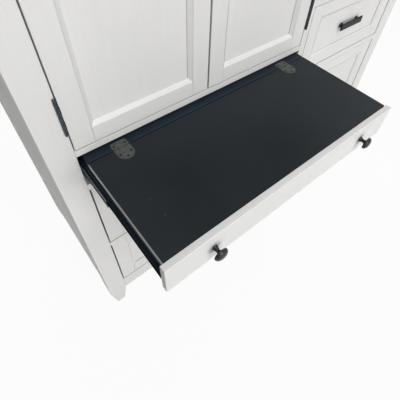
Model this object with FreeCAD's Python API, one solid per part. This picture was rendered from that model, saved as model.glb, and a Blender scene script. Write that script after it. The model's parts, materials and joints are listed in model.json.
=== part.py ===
import FreeCAD, Part
import math
import os

# A painted cabinet desk: two doors over a pull-out writing tray, with drawers beside and below.
# All sizes are in millimetres. X runs to the right, Y into the depth, Z up from the floor.

Vector = FreeCAD.Vector

# Case widths, from left to right
POST = 56.0
LEFT_BAY = 674.0
PARTITION = 24.0
RIGHT_BAY = 435.0

# Case heights, from the floor up
FOOT = 115.0
BOTTOM_RAIL = 59.0
LOW_ROW = 244.0
ROW_RAIL = 16.0
HIGH_ROW = 255.0
WAIST_DECK = 20.0
TRAY_BAY = 93.0
CABINET_FLOOR = 16.0
DOOR_BAY = 564.0
TOP_RAIL = 38.0
TOP_BOARD = 25.0
UPPER_RAIL = 18.0
SHELF_HEIGHT = 272.0

# Case depths and boards
CASE_DEPTH = 475.0
TOE = 28.0
RAIL_DEPTH = 22.0
STRETCHER_DEPTH = 45.0
SIDE_PANEL = 18.0
SIDE_REVEAL = 2.0
BACK_PANEL = 9.0
BACK_REVEAL = 4.0
BOTTOM_BOARD = 18.0
SHELF = 18.0
SHELF_SETBACK = 48.0
TOP_OVERHANG = 12.0
TOP_ROUND = 6.0

# Framed doors and drawer fronts
FRONT_GAP = 2.5
MEETING_GAP = 4.5
DRAWER_GAP = 4.0
DRAWER_SETBACK = 1.5
FRONT_THICK = 20.0
STILE = 43.0
FRAME_RAIL = 38.0
DOOR_BEVEL = 9.5
DOOR_RECESS = 9.5
DRAWER_BEVEL = 7.5
DRAWER_RECESS = 6.0
FRAME_PANEL = 6.0
TONGUE = 6.0

# Drawer boxes on wooden runners
BOX_GAP = 10.0
BOX_SIDE = 12.0
BOX_DEPTH = 400.0
BOX_HEADROOM = 30.0
BOX_LIFT = 10.0
BOX_BOTTOM = 5.0
BOTTOM_LIFT = 8.0
RUNNER = 14.0
RUNNER_START = 26.0
GROOVE = 6.0
RUN_CLEAR = 0.3

# Writing tray with a hinged lid, drawn out as it is photographed
TRAY_OUT = 302.0
TRAY_TOP_GAP = 3.0
TRAY_FRONT = 14.5
TRAY_GAP = 4.0
TRAY_DEPTH = 400.0
TRAY_SIDE = 12.0
TRAY_BOTTOM = 6.0
TRAY_LIFT = 3.0
TRAY_BOTTOM_LIFT = 3.0
LID_DEPTH = 260.0
LID_THICK = 15.0
LID_CLEAR = 1.0
LID_TO_PIN = 0.4
PIN_TO_STRIP = 1.9

# Three-member tray slides, named by their walls and by the heights of the members
SLIDE_GAP = 11.0
SLIDE_WALL = 1.5
SLIDE_CLEAR = 0.5
SLIDE_HEIGHT = 27.0
SLIDE_SHY = 1.5
SLIDE_LIFT = 40.0
SLIDE_START = 19.0
SLIDE_LENGTH = 410.0
MIDDLE_OUT = 104.0
MIDDLE_LENGTH = 380.0
INNER_LENGTH = 390.0

# Flush lid hinges
LID_HINGE_WIDTH = 37.0
LID_HINGE_LEFT = 86.0
LID_HINGE_RIGHT = 89.0
LID_LEAF = 2.0
LID_LEAF_FRONT = 35.5
LID_LEAF_REAR = 21.5
LID_LEAF_CORNER = 7.0
LID_KNUCKLE = 1.6
LID_PIN = 0.8
PIN_CLEAR = 0.05
KNUCKLE_CLEAR = 0.6
KNUCKLE_SPLIT = 0.4

# Barrel hinges of the doors
HINGE_LENGTH = 83.5
HINGE_INSET = 50.0
HINGE_RADIUS = 2.7
HINGE_PIN = 1.4
HINGE_TIP = 2.5
HINGE_OFFSET = 2.9
HINGE_LEAF = 1.0
HINGE_LEAF_DEPTH = 16.0
HINGE_KNUCKLES = 5

# Catches behind the meeting stiles
CATCH_WIDTH = 30.0
CATCH_DROP = 16.0
CATCH_RISE = 14.0
CATCH_DEPTH = 14.0

# Round knobs
KNOB_RADIUS = 15.0
KNOB_PROUD = 26.0
KNOB_STEM = 4.0
KNOB_BASE = 7.0
KNOB_BASE_THICK = 1.5
KNOB_FLARE = 7.0
KNOB_NECK = 12.0
KNOB_RIM = 17.5
KNOB_RIM_THICK = 1.5
KNOB_BROW = 12.0
KNOB_CROWN = 3.6
TRAY_KNOB_INSET = 110.5
DOOR_KNOB_HEIGHT = 330.0

# Bar pulls
PULL_CENTRES = 78.0
PULL_LENGTH = 108.0
PULL_HEIGHT = 20.5
PULL_PLATE = 4.5
PULL_CHAMFER = 1.5
PULL_PROUD = 15.0
PULL_FOOT_BASE = 8.5
PULL_FOOT_TOP = 5.5

# Places worked out from the sizes, left to right
CASE_WIDTH = 2 * POST + LEFT_BAY + PARTITION + RIGHT_BAY
LEFT = -CASE_WIDTH / 2
LEFT_IN = LEFT + POST
PART_LEFT = LEFT_IN + LEFT_BAY
PART_RIGHT = PART_LEFT + PARTITION
RIGHT_IN = PART_RIGHT + RIGHT_BAY
RIGHT = RIGHT_IN + POST
SIDE_LEFT_IN = LEFT + SIDE_REVEAL + SIDE_PANEL
SIDE_RIGHT_IN = RIGHT - SIDE_REVEAL - SIDE_PANEL

# Places worked out from the sizes, front to back
BACK_OUT = CASE_DEPTH - BACK_REVEAL
BACK_IN = BACK_OUT - BACK_PANEL
REAR_POST = CASE_DEPTH - POST

# Places worked out from the sizes, from the floor up
FLOOR_Z = FOOT + BOTTOM_RAIL
ROW_Z = FLOOR_Z + LOW_ROW
ROW_TOP = ROW_Z + ROW_RAIL
WAIST_Z = ROW_TOP + HIGH_ROW
WAIST_TOP = WAIST_Z + WAIST_DECK
CABINET_Z = WAIST_TOP + TRAY_BAY
DOOR_Z = CABINET_Z + CABINET_FLOOR
DOOR_TOP = DOOR_Z + DOOR_BAY
CASE_TOP = DOOR_TOP + TOP_RAIL
SHELF_Z = DOOR_Z + SHELF_HEIGHT
UPPER_DRAWERS = 3
UPPER_ROW = (DOOR_TOP - WAIST_TOP - (UPPER_DRAWERS - 1) * UPPER_RAIL) / UPPER_DRAWERS

# Places of the tray at rest
TRAY_FACE = -TRAY_OUT
TRAY_BACK_OF_FRONT = TRAY_FACE + TRAY_FRONT
TRAY_TOP = CABINET_Z - TRAY_TOP_GAP
TRAY_FRONT_Z = WAIST_TOP + TRAY_GAP
TRAY_Z = TRAY_FRONT_Z + TRAY_LIFT
TRAY_LEFT = LEFT_IN + SLIDE_GAP
TRAY_RIGHT = PART_LEFT - SLIDE_GAP
TRAY_REAR = TRAY_BACK_OF_FRONT + TRAY_DEPTH
LID_Z = TRAY_TOP - LID_THICK
LID_FRONT = TRAY_BACK_OF_FRONT + LID_CLEAR
PIN_Y = LID_FRONT + LID_DEPTH + LID_TO_PIN
PIN_Z = TRAY_TOP - LID_KNUCKLE
LID_HINGES = (LEFT_IN + LID_HINGE_LEFT, PART_LEFT - LID_HINGE_RIGHT)
SLIDE_Z = TRAY_Z + SLIDE_LIFT

# The origin is under the middle of the whole object's box, with the tray drawn out
ORIGIN_Y = (CASE_DEPTH - TRAY_OUT - KNOB_PROUD) / 2

# Edges that lie this close to a face's plane are taken as edges of that face
TOUCH = 1e-6


def block(x, y, z):
    """A board with square edges between three pairs of limits."""
    low = Vector(x[0], y[0], z[0])
    return Part.makeBox(x[1] - x[0], y[1] - y[0], z[1] - z[0], low)


def plate(outline, y):
    """A flat shape drawn in X and Z, as thick as the two limits in Y."""
    corners = [Vector(x, y[0], z) for x, z in outline]
    face = Part.Face(Part.makePolygon(corners + corners[:1]))
    return face.extrude(Vector(0, y[1] - y[0], 0))


def cut_all(solid, tools):
    """The solid with each of the tools cut out of it."""
    for tool in tools:
        solid = solid.cut(tool)
    return solid


def fuse_all(solids):
    """One solid made of pieces that overlap."""
    whole = solids[0]
    for solid in solids[1:]:
        whole = whole.fuse(solid)
    return whole.removeSplitter()


# Case


def post(x, y):
    """A corner post whose foot tapers on four sides down to the floor."""
    half = POST / 2
    toe = TOE / 2
    foot = Part.makeWedge(-toe, 0, -toe, -half, -half, toe, FOOT, toe, half, half)
    foot.rotate(Vector(0, 0, 0), Vector(1, 0, 0), 90)
    foot.translate(Vector(x, y, 0))
    shaft = block((x - half, x + half), (y - half, y + half), (FOOT, CASE_TOP))
    return fuse_all([foot, shaft])


def posts():
    """The four corner posts by name."""
    middles = {"front": POST / 2, "rear": CASE_DEPTH - POST / 2}
    made = {}
    for row, y in middles.items():
        made["post_%s_left" % row] = post(LEFT + POST / 2, y)
        made["post_%s_right" % row] = post(RIGHT - POST / 2, y)
    return made


def deck(x, y, z, corner_posts):
    """A board that reaches the side panels and is notched round the posts."""
    return cut_all(block(x, y, z), corner_posts)


def top_board():
    """The top, rounded along its upper front and end edges and its front corners."""
    x = (LEFT - TOP_OVERHANG, RIGHT + TOP_OVERHANG)
    board = block(x, (-TOP_OVERHANG, CASE_DEPTH), (CASE_TOP, CASE_TOP + TOP_BOARD))
    box = board.BoundBox
    rounded = []
    for edge in board.Edges:
        middle = edge.CenterOfMass
        at_front = abs(middle.y - box.YMin) < TOUCH
        at_end = abs(abs(middle.x) - box.XMax) < TOUCH
        at_top = abs(middle.z - box.ZMax) < TOUCH
        if (at_top and (at_front or at_end)) or (at_front and at_end):
            rounded.append(edge)
    return board.makeFillet(TOP_ROUND, rounded)


def case_boards(corner_posts):
    """Panels, decks, partitions and rails of the case."""
    inside_y = (0, BACK_IN)
    between_posts = (POST, REAR_POST)
    full_x = (SIDE_LEFT_IN, SIDE_RIGHT_IN)
    left_x = (SIDE_LEFT_IN, PART_LEFT)
    partition_x = (PART_LEFT, PART_RIGHT)
    rail_y = (0, RAIL_DEPTH)
    top_rail = block((LEFT_IN, RIGHT_IN), rail_y, (DOOR_TOP, CASE_TOP))
    side_z = (FOOT, CASE_TOP)
    upper_partition = block(partition_x, inside_y, (WAIST_TOP, CASE_TOP))
    stretcher_y = (0, STRETCHER_DEPTH)
    right_rails = [block((PART_RIGHT, RIGHT_IN), stretcher_y, (ROW_Z, ROW_TOP))]
    for index in range(1, UPPER_DRAWERS):
        low = WAIST_TOP + index * UPPER_ROW + (index - 1) * UPPER_RAIL
        right_rails.append(block((PART_RIGHT, RIGHT_IN), stretcher_y, (low, low + UPPER_RAIL)))
    bottom_z = (FLOOR_Z - BOTTOM_BOARD, FLOOR_Z)
    shelf_y = (SHELF_SETBACK, BACK_IN)
    return {
        "side_panel_left": [block((LEFT + SIDE_REVEAL, SIDE_LEFT_IN), between_posts, side_z)],
        "side_panel_right": [block((SIDE_RIGHT_IN, RIGHT - SIDE_REVEAL), between_posts, side_z)],
        "back_panel": [block((LEFT_IN, RIGHT_IN), (BACK_IN, BACK_OUT), side_z)],
        "top_board": [top_board()],
        "top_rail": [top_rail],
        "bottom_rail": [block((LEFT_IN, RIGHT_IN), rail_y, (FOOT, FLOOR_Z))],
        "bottom_board": [deck(full_x, (RAIL_DEPTH, BACK_IN), bottom_z, corner_posts)],
        "waist_deck": [deck(full_x, inside_y, (WAIST_Z, WAIST_TOP), corner_posts)],
        "cabinet_floor": [deck(left_x, inside_y, (CABINET_Z, DOOR_Z), corner_posts)],
        "cabinet_shelf": [deck(left_x, shelf_y, (SHELF_Z, SHELF_Z + SHELF), corner_posts)],
        "partition_upper": [upper_partition.cut(top_rail)],
        "partition_lower": [block(partition_x, inside_y, (FLOOR_Z, WAIST_Z))],
        "row_rail_left": [block((LEFT_IN, PART_LEFT), stretcher_y, (ROW_Z, ROW_TOP))],
        "drawer_rails_right": right_rails,
    }


def door_catches():
    """Two catches that hang behind the top rail, at the doors' meeting stiles."""
    made = []
    nose_y = FRONT_THICK + RUN_CLEAR
    for side in (-1, 1):
        middle = (LEFT_IN + PART_LEFT) / 2 + side * CATCH_WIDTH
        x = (middle - CATCH_WIDTH / 2, middle + CATCH_WIDTH / 2)
        back = (RAIL_DEPTH, RAIL_DEPTH + CATCH_DEPTH)
        body = block(x, back, (DOOR_TOP - CATCH_DROP, DOOR_TOP + CATCH_RISE))
        nose = block(x, (nose_y, RAIL_DEPTH), (DOOR_TOP - CATCH_DROP, DOOR_TOP - FRONT_GAP))
        made.append(fuse_all([body, nose]))
    return made


# Framed fronts


def framed_front(x, z, bevel, recess):
    """Two stiles, two rails and a recessed panel, with a sloped edge round the panel.

    The stiles run the whole height, the rails butt against them, and the slopes meet in mitres.
    """
    stile_in = (x[0] + STILE, x[1] - STILE)
    rail_in = (z[0] + FRAME_RAIL, z[1] - FRAME_RAIL)
    sight_x = (stile_in[0] + bevel, stile_in[1] - bevel)
    sight_z = (rail_in[0] + bevel, rail_in[1] - bevel)
    slope = Part.makeWedge(stile_in[0], 0, rail_in[0], sight_z[0], sight_x[0],
                           stile_in[1], recess, rail_in[1], sight_z[1], sight_x[1])
    panel_x = (sight_x[0] - TONGUE, sight_x[1] + TONGUE)
    panel_z = (sight_z[0] - TONGUE, sight_z[1] + TONGUE)
    panel = block(panel_x, (recess, recess + FRAME_PANEL), panel_z)
    thick = (0, FRONT_THICK)
    frame = cut_all(block(x, thick, z), [slope, block(sight_x, thick, sight_z), panel])
    members = []
    for near, joint, sight in ((x[0], stile_in[0], sight_x[0]), (x[1], stile_in[1], sight_x[1])):
        outline = [(near, z[0]), (joint, z[0]), (joint, rail_in[0]), (sight, sight_z[0]),
                   (sight, sight_z[1]), (joint, rail_in[1]), (joint, z[1]), (near, z[1])]
        members.append(frame.common(plate(outline, thick)))
    for near, joint, sight in ((z[0], rail_in[0], sight_z[0]), (z[1], rail_in[1], sight_z[1])):
        outline = [(stile_in[0], near), (stile_in[1], near), (stile_in[1], joint),
                   (sight_x[1], sight), (sight_x[0], sight), (stile_in[0], joint)]
        members.append(frame.common(plate(outline, thick)))
    return members, panel


def knob(x, face_y, z):
    """A mushroom knob on a flared base, turned about an axis that points out of the face."""
    def at(radius, out):
        return Vector(radius, -out, 0)

    def arc(start, middle, end):
        return Part.Arc(at(*start), at(*middle), at(*end)).toShape()

    def line(start, end):
        return Part.LineSegment(at(*start), at(*end)).toShape()

    base = (KNOB_BASE, KNOB_BASE_THICK)
    flare = (KNOB_STEM, KNOB_FLARE)
    neck = (KNOB_STEM, KNOB_NECK)
    rim = (KNOB_RADIUS, KNOB_RIM)
    shoulder = (KNOB_RADIUS, KNOB_RIM + KNOB_RIM_THICK)
    brow = (KNOB_BROW, KNOB_PROUD - KNOB_CROWN)
    crown = (0, KNOB_PROUD)
    hollow = 0.3
    flare_middle = (flare[0] + hollow * (base[0] - flare[0]), flare[1] - (1 - hollow) * (flare[1] - base[1]))
    rim_middle = (neck[0] + hollow * (rim[0] - neck[0]), neck[1] + (1 - hollow) * (rim[1] - neck[1]))
    brow_middle = (rim[0] - hollow * (rim[0] - brow[0]), brow[1] - hollow * (brow[1] - shoulder[1]))
    ball = (KNOB_BROW ** 2 + KNOB_CROWN ** 2) / (2 * KNOB_CROWN)
    turn = math.asin(KNOB_BROW / ball) / 2
    crown_middle = (ball * math.sin(turn), crown[1] - ball * (1 - math.cos(turn)))
    outline = [line((0, 0), (KNOB_BASE, 0)), line((KNOB_BASE, 0), base), arc(base, flare_middle, flare),
               line(flare, neck), arc(neck, rim_middle, rim), line(rim, shoulder),
               arc(shoulder, brow_middle, brow), arc(brow, crown_middle, crown), line(crown, (0, 0))]
    turned = Part.Face(Part.Wire(outline)).revolve(Vector(0, 0, 0), Vector(0, 1, 0), 360)
    turned.translate(Vector(x, face_y, z))
    return turned


def pull(x, face_y, z):
    """A flat bar, chamfered round its front, on two tapered feet."""
    front = face_y - PULL_PROUD
    back = front + PULL_PLATE
    half = PULL_LENGTH / 2
    tall = PULL_HEIGHT / 2
    bar = block((x - half, x + half), (front, back), (z - tall, z + tall))
    front_edges = [edge for edge in bar.Edges if abs(edge.CenterOfMass.y - front) < TOUCH]
    pieces = [bar.makeChamfer(PULL_CHAMFER, front_edges)]
    for side in (-1, 1):
        foot = Vector(x + side * PULL_CENTRES / 2, face_y, z)
        pieces.append(Part.makeCone(PULL_FOOT_BASE, PULL_FOOT_TOP, face_y - back, foot, Vector(0, -1, 0)))
    return pieces


# Doors


def knuckle_spans(low, length, count):
    """Z limits of the knuckles of one hinge, with a small split between neighbours."""
    pitch = length / count
    spans = []
    for index in range(count):
        start = low + index * pitch
        spans.append((start + KNUCKLE_SPLIT / 2, start + pitch - KNUCKLE_SPLIT / 2))
    return spans


def door_hinge(edge, side, low):
    """The case leaf and the door leaf of a barrel hinge that stands in front of the case.

    edge is the X of the opening's edge, and side is +1 where the door lies to the right of it.
    """
    axis = Vector(edge - side * HINGE_OFFSET, -HINGE_OFFSET, 0)
    leaf_z = (low, low + HINGE_LENGTH)
    leaf_y = (0, HINGE_LEAF_DEPTH)
    gap_far = edge + side * FRONT_GAP
    case_x = tuple(sorted((edge, edge + side * HINGE_LEAF)))
    door_x = tuple(sorted((gap_far - side * HINGE_LEAF, gap_far)))
    case_leaf = [block(case_x, leaf_y, leaf_z)]
    door_leaf = [block(door_x, leaf_y, leaf_z)]
    web = HINGE_LEAF / 2
    for index, span in enumerate(knuckle_spans(low, HINGE_LENGTH, HINGE_KNUCKLES)):
        on_case = index % 2 == 0
        leaf, leaf_x = (case_leaf, case_x) if on_case else (door_leaf, door_x)
        reach = tuple(sorted((axis.x, leaf_x[1] if side > 0 else leaf_x[0])))
        foot = Vector(axis.x, axis.y, span[0])
        leaf.append(Part.makeCylinder(HINGE_RADIUS, span[1] - span[0], foot))
        leaf.append(block(reach, (axis.y - web, axis.y + web), span))
        leaf.append(block(leaf_x, (axis.y - web, 0), span))
    pin = Part.makeCylinder(HINGE_PIN, HINGE_LENGTH, Vector(axis.x, axis.y, low))
    bore = Part.makeCylinder(HINGE_PIN + PIN_CLEAR, HINGE_LENGTH, Vector(axis.x, axis.y, low))
    tips = []
    for z, up in zip(leaf_z, (-1, 1)):
        foot = Vector(axis.x, axis.y, z - up * KNUCKLE_SPLIT)
        tips.append(Part.makeCone(HINGE_RADIUS, HINGE_PIN, HINGE_TIP, foot, Vector(0, 0, up)))
    return fuse_all(case_leaf + [pin] + tips), fuse_all(door_leaf).cut(bore)


def doors():
    """Both doors by node, and the hinge leaves that stay on the case."""
    z = (DOOR_Z + FRONT_GAP, DOOR_TOP - FRONT_GAP)
    width = (LEFT_BAY - 2 * FRONT_GAP - MEETING_GAP) / 2
    hinge_lows = (DOOR_Z + HINGE_INSET, DOOR_TOP - HINGE_INSET - HINGE_LENGTH)
    made = {}
    case_leaves = []
    for name, edge, side in (("left", LEFT_IN, 1), ("right", PART_LEFT, -1)):
        near = edge + side * FRONT_GAP
        far = near + side * width
        members, panel = framed_front(tuple(sorted((near, far))), z, DOOR_BEVEL, DOOR_RECESS)
        leaves = []
        for low in hinge_lows:
            case_leaf, door_leaf = door_hinge(edge, side, low)
            case_leaves.append(case_leaf)
            leaves.append(door_leaf)
        made["door_%s_frame" % name] = members
        made["door_%s_panel" % name] = [panel]
        made["door_%s_knob" % name] = [knob(far - side * STILE / 2, 0, z[0] + DOOR_KNOB_HEIGHT)]
        made["door_%s_hinges" % name] = leaves
    made["door_hinges_case"] = case_leaves
    return made


# Drawers


def drawer(x, z, pull_places):
    """The front, box and pulls of one drawer, and the two runners that carry it."""
    front_x = (x[0] + DRAWER_GAP, x[1] - DRAWER_GAP)
    front_z = (z[0] + FRONT_GAP, z[1] - FRONT_GAP)
    members, panel = framed_front(front_x, front_z, DRAWER_BEVEL, DRAWER_RECESS)
    box_x = (x[0] + BOX_GAP, x[1] - BOX_GAP)
    box_y = (FRONT_THICK, FRONT_THICK + BOX_DEPTH)
    box_z = (front_z[0] + BOX_LIFT, front_z[1] - BOX_HEADROOM)
    inner_x = (box_x[0] + BOX_SIDE, box_x[1] - BOX_SIDE)
    inner_y = (box_y[0] + BOX_SIDE, box_y[1] - BOX_SIDE)
    runner_z = (sum(box_z) / 2 - RUNNER / 2, sum(box_z) / 2 + RUNNER / 2)
    groove_z = (runner_z[0] - RUN_CLEAR, runner_z[1] + RUN_CLEAR)
    grooves = [block((box_x[0], box_x[0] + GROOVE), box_y, groove_z),
               block((box_x[1] - GROOVE, box_x[1]), box_y, groove_z)]
    bottom_z = (box_z[0] + BOTTOM_LIFT, box_z[0] + BOTTOM_LIFT + BOX_BOTTOM)
    box = [block((box_x[0], inner_x[0]), box_y, box_z).cut(grooves[0]),
           block((inner_x[1], box_x[1]), box_y, box_z).cut(grooves[1]),
           block(inner_x, (box_y[0], inner_y[0]), box_z),
           block(inner_x, (inner_y[1], box_y[1]), box_z),
           block(inner_x, inner_y, bottom_z)]
    reach = GROOVE - RUN_CLEAR
    runner_y = (RUNNER_START, BACK_IN)
    runners = [block((x[0], box_x[0] + reach), runner_y, runner_z),
               block((box_x[1] - reach, x[1]), runner_y, runner_z)]
    pulls = []
    for place in pull_places:
        pulls += pull(place, DRAWER_RECESS, sum(front_z) / 2)
    for solid in members + [panel] + box + pulls:
        solid.translate(Vector(0, DRAWER_SETBACK, 0))
    return {"front": members + [panel], "box": box, "pull": pulls}, runners


def drawers():
    """The drawers by node, with all their runners in one node."""
    right_x = (PART_RIGHT, RIGHT_IN)
    left_x = (LEFT_IN, PART_LEFT)
    right_middle = [sum(right_x) / 2]
    left_pair = [LEFT_IN + LEFT_BAY / 4, PART_LEFT - LEFT_BAY / 4]
    lower_rows = ((ROW_TOP, WAIST_Z), (FLOOR_Z, ROW_Z))
    places = []
    for index in range(UPPER_DRAWERS):
        high = DOOR_TOP - index * (UPPER_ROW + UPPER_RAIL)
        places.append(("right_%d" % (index + 1), right_x, (high - UPPER_ROW, high), right_middle))
    for index, row in enumerate(lower_rows):
        places.append(("right_%d" % (UPPER_DRAWERS + index + 1), right_x, row, right_middle))
        places.append(("left_%d" % (index + 1), left_x, row, left_pair))
    made = {"drawer_runners": []}
    for name, x, z, pull_places in places:
        pieces, runners = drawer(x, z, pull_places)
        for piece, solids in pieces.items():
            made["drawer_%s_%s" % (name, piece)] = solids
        made["drawer_runners"] += runners
    return made


# Writing tray


def channel(wall, side, span, y, half_height, opens_inward):
    """A slide member: a web with two flanges, between two distances from the wall of the bay.

    opens_inward is True where the web stands next to the wall and the flanges point at the tray.
    """
    near = wall + side * span[0]
    far = wall + side * span[1]
    web = near if opens_inward else far
    inner = web + (side if opens_inward else -side) * SLIDE_WALL
    open_end = far if opens_inward else near
    z = (SLIDE_Z - half_height, SLIDE_Z + half_height)
    hollow_z = (z[0] + SLIDE_WALL, z[1] - SLIDE_WALL)
    body = block(tuple(sorted((near, far))), y, z)
    return body.cut(block(tuple(sorted((inner, open_end))), y, hollow_z))


def tray_slides():
    """The case, middle and tray members of the two slides."""
    outer_half = SLIDE_HEIGHT / 2
    middle_half = outer_half - SLIDE_WALL - SLIDE_CLEAR
    inner_half = middle_half - SLIDE_WALL - SLIDE_CLEAR
    middle_start = SLIDE_WALL + SLIDE_CLEAR
    inner_start = middle_start + SLIDE_WALL + SLIDE_CLEAR
    shy = SLIDE_GAP - SLIDE_SHY
    outer_y = (SLIDE_START, SLIDE_START + SLIDE_LENGTH)
    middle_y = (-MIDDLE_OUT, MIDDLE_LENGTH - MIDDLE_OUT)
    inner_y = (TRAY_BACK_OF_FRONT, TRAY_BACK_OF_FRONT + INNER_LENGTH)
    made = {"tray_slide_outer": [], "tray_slide_middle": [], "tray_slide_inner": []}
    for wall, side in ((LEFT_IN, 1), (PART_LEFT, -1)):
        outer = channel(wall, side, (0, shy), outer_y, outer_half, True)
        middle = channel(wall, side, (middle_start, shy), middle_y, middle_half, True)
        inner = channel(wall, side, (inner_start, SLIDE_GAP), inner_y, inner_half, False)
        made["tray_slide_outer"].append(outer)
        made["tray_slide_middle"].append(middle)
        made["tray_slide_inner"].append(inner)
    return made


def lid_hinge(x):
    """The round-ended lid leaf, the strip leaf and the pocket for the knuckles of one flush hinge."""
    half = LID_HINGE_WIDTH / 2
    leaf_z = (TRAY_TOP - LID_LEAF, TRAY_TOP)
    shy = LID_KNUCKLE + KNUCKLE_CLEAR
    third = LID_HINGE_WIDTH / 3
    round_y = PIN_Y - LID_LEAF_FRONT + half
    corners = [Vector(x + half, round_y, leaf_z[0]), Vector(x + half, PIN_Y - shy, leaf_z[0]),
               Vector(x - half, PIN_Y - shy, leaf_z[0]), Vector(x - half, round_y, leaf_z[0])]
    tip = Vector(x, round_y - half, leaf_z[0])
    outline = [Part.makePolygon(corners), Part.Arc(corners[3], tip, corners[0]).toShape()]
    lid_leaf = [Part.Face(Part.Wire(outline)).extrude(Vector(0, 0, LID_LEAF))]
    rear = PIN_Y + LID_LEAF_REAR
    square = block((x - half, x + half), (PIN_Y + shy, rear), leaf_z)
    rear_corners = [edge for edge in square.Edges
                    if abs(edge.CenterOfMass.y - rear) < TOUCH and abs(edge.Length - LID_LEAF) < TOUCH]
    strip_leaf = [square.makeFillet(LID_LEAF_CORNER, rear_corners)]
    along = Vector(1, 0, 0)
    for index in range(3):
        start = x - half + index * third + KNUCKLE_SPLIT / 2
        length = third - KNUCKLE_SPLIT
        on_lid = index != 1
        tab_y = (PIN_Y - shy, PIN_Y) if on_lid else (PIN_Y, PIN_Y + shy)
        leaf = lid_leaf if on_lid else strip_leaf
        leaf.append(Part.makeCylinder(LID_KNUCKLE, length, Vector(start, PIN_Y, PIN_Z), along))
        leaf.append(block((start, start + length), tab_y, (TRAY_TOP - LID_KNUCKLE, TRAY_TOP)))
    pin_foot = Vector(x - half, PIN_Y, PIN_Z)
    pin = Part.makeCylinder(LID_PIN, LID_HINGE_WIDTH, pin_foot, along)
    bore = Part.makeCylinder(LID_PIN + PIN_CLEAR, LID_HINGE_WIDTH, pin_foot, along)
    pocket_z = (PIN_Z - shy, TRAY_TOP)
    room = half + KNUCKLE_SPLIT
    pocket = block((x - room, x + room), (PIN_Y - shy, PIN_Y + shy), pocket_z)
    return fuse_all(lid_leaf).cut(bore), fuse_all(strip_leaf + [pin]), pocket


def tray():
    """The tray box with its front and knobs, the fixed strip, the lid, and the lid's hinges."""
    inner_x = (TRAY_LEFT + TRAY_SIDE, TRAY_RIGHT - TRAY_SIDE)
    box_y = (TRAY_BACK_OF_FRONT, TRAY_REAR)
    box_z = (TRAY_Z, LID_Z)
    rear_y = (TRAY_REAR - TRAY_SIDE, TRAY_REAR)
    bottom_low = TRAY_Z + TRAY_BOTTOM_LIFT
    box = [block((TRAY_LEFT, inner_x[0]), box_y, box_z),
           block((inner_x[1], TRAY_RIGHT), box_y, box_z),
           block(inner_x, rear_y, box_z),
           block(inner_x, (box_y[0], rear_y[0]), (bottom_low, bottom_low + TRAY_BOTTOM))]
    front_x = (LEFT_IN + TRAY_GAP, PART_LEFT - TRAY_GAP)
    front_z = (TRAY_FRONT_Z, TRAY_TOP)
    top_x = (TRAY_LEFT, TRAY_RIGHT)
    top_z = (LID_Z, TRAY_TOP)
    lid = block(top_x, (LID_FRONT, PIN_Y - LID_TO_PIN), top_z)
    strip = block(top_x, (PIN_Y + PIN_TO_STRIP, TRAY_REAR), top_z)
    lid_leaves = []
    strip_leaves = []
    for x in LID_HINGES:
        lid_leaf, strip_leaf, pocket = lid_hinge(x)
        lid = cut_all(lid, [pocket, lid_leaf])
        strip = cut_all(strip, [pocket, strip_leaf])
        lid_leaves.append(lid_leaf)
        strip_leaves.append(strip_leaf)
    knob_z = sum(front_z) / 2
    knob_places = (LEFT_IN + TRAY_KNOB_INSET, PART_LEFT - TRAY_KNOB_INSET)
    return {
        "tray_box": box,
        "tray_front": [block(front_x, (TRAY_FACE, TRAY_BACK_OF_FRONT), front_z)],
        "tray_knobs": [knob(x, TRAY_FACE, knob_z) for x in knob_places],
        "tray_strip": [strip],
        "tray_hinges": strip_leaves,
        "lid_panel": [lid],
        "lid_hinges": lid_leaves,
    }


def save(name, solids):
    """Writes one node, moved so that the origin is under the middle of the object's box."""
    shape = Part.makeCompound(solids) if len(solids) > 1 else solids[0].copy()
    shape.translate(Vector(0, -ORIGIN_Y, 0))
    shape.exportStep("parts/%s.step" % name)


# Every node by name, each a list of separate solids

corner_posts = posts()
nodes = {}
for name, solid in corner_posts.items():
    nodes[name] = [solid]
nodes.update(case_boards(list(corner_posts.values())))
nodes["door_catches"] = door_catches()
nodes.update(doors())
nodes.update(drawers())
nodes.update(tray())
nodes.update(tray_slides())

os.makedirs("parts", exist_ok=True)
for name, solids in nodes.items():
    save(name, solids)
print("%d nodes, %d solids" % (len(nodes), sum(len(solids) for solids in nodes.values())))
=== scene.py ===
"""The look of a white cabinet desk with a pull-out writing tray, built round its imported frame."""

import json
import logging
import math
from collections.abc import Callable, Iterator, Sequence
from contextlib import contextmanager
from dataclasses import dataclass, field, replace
from enum import Enum

import bmesh
import bpy
from mathutils import Matrix, Vector

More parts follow.
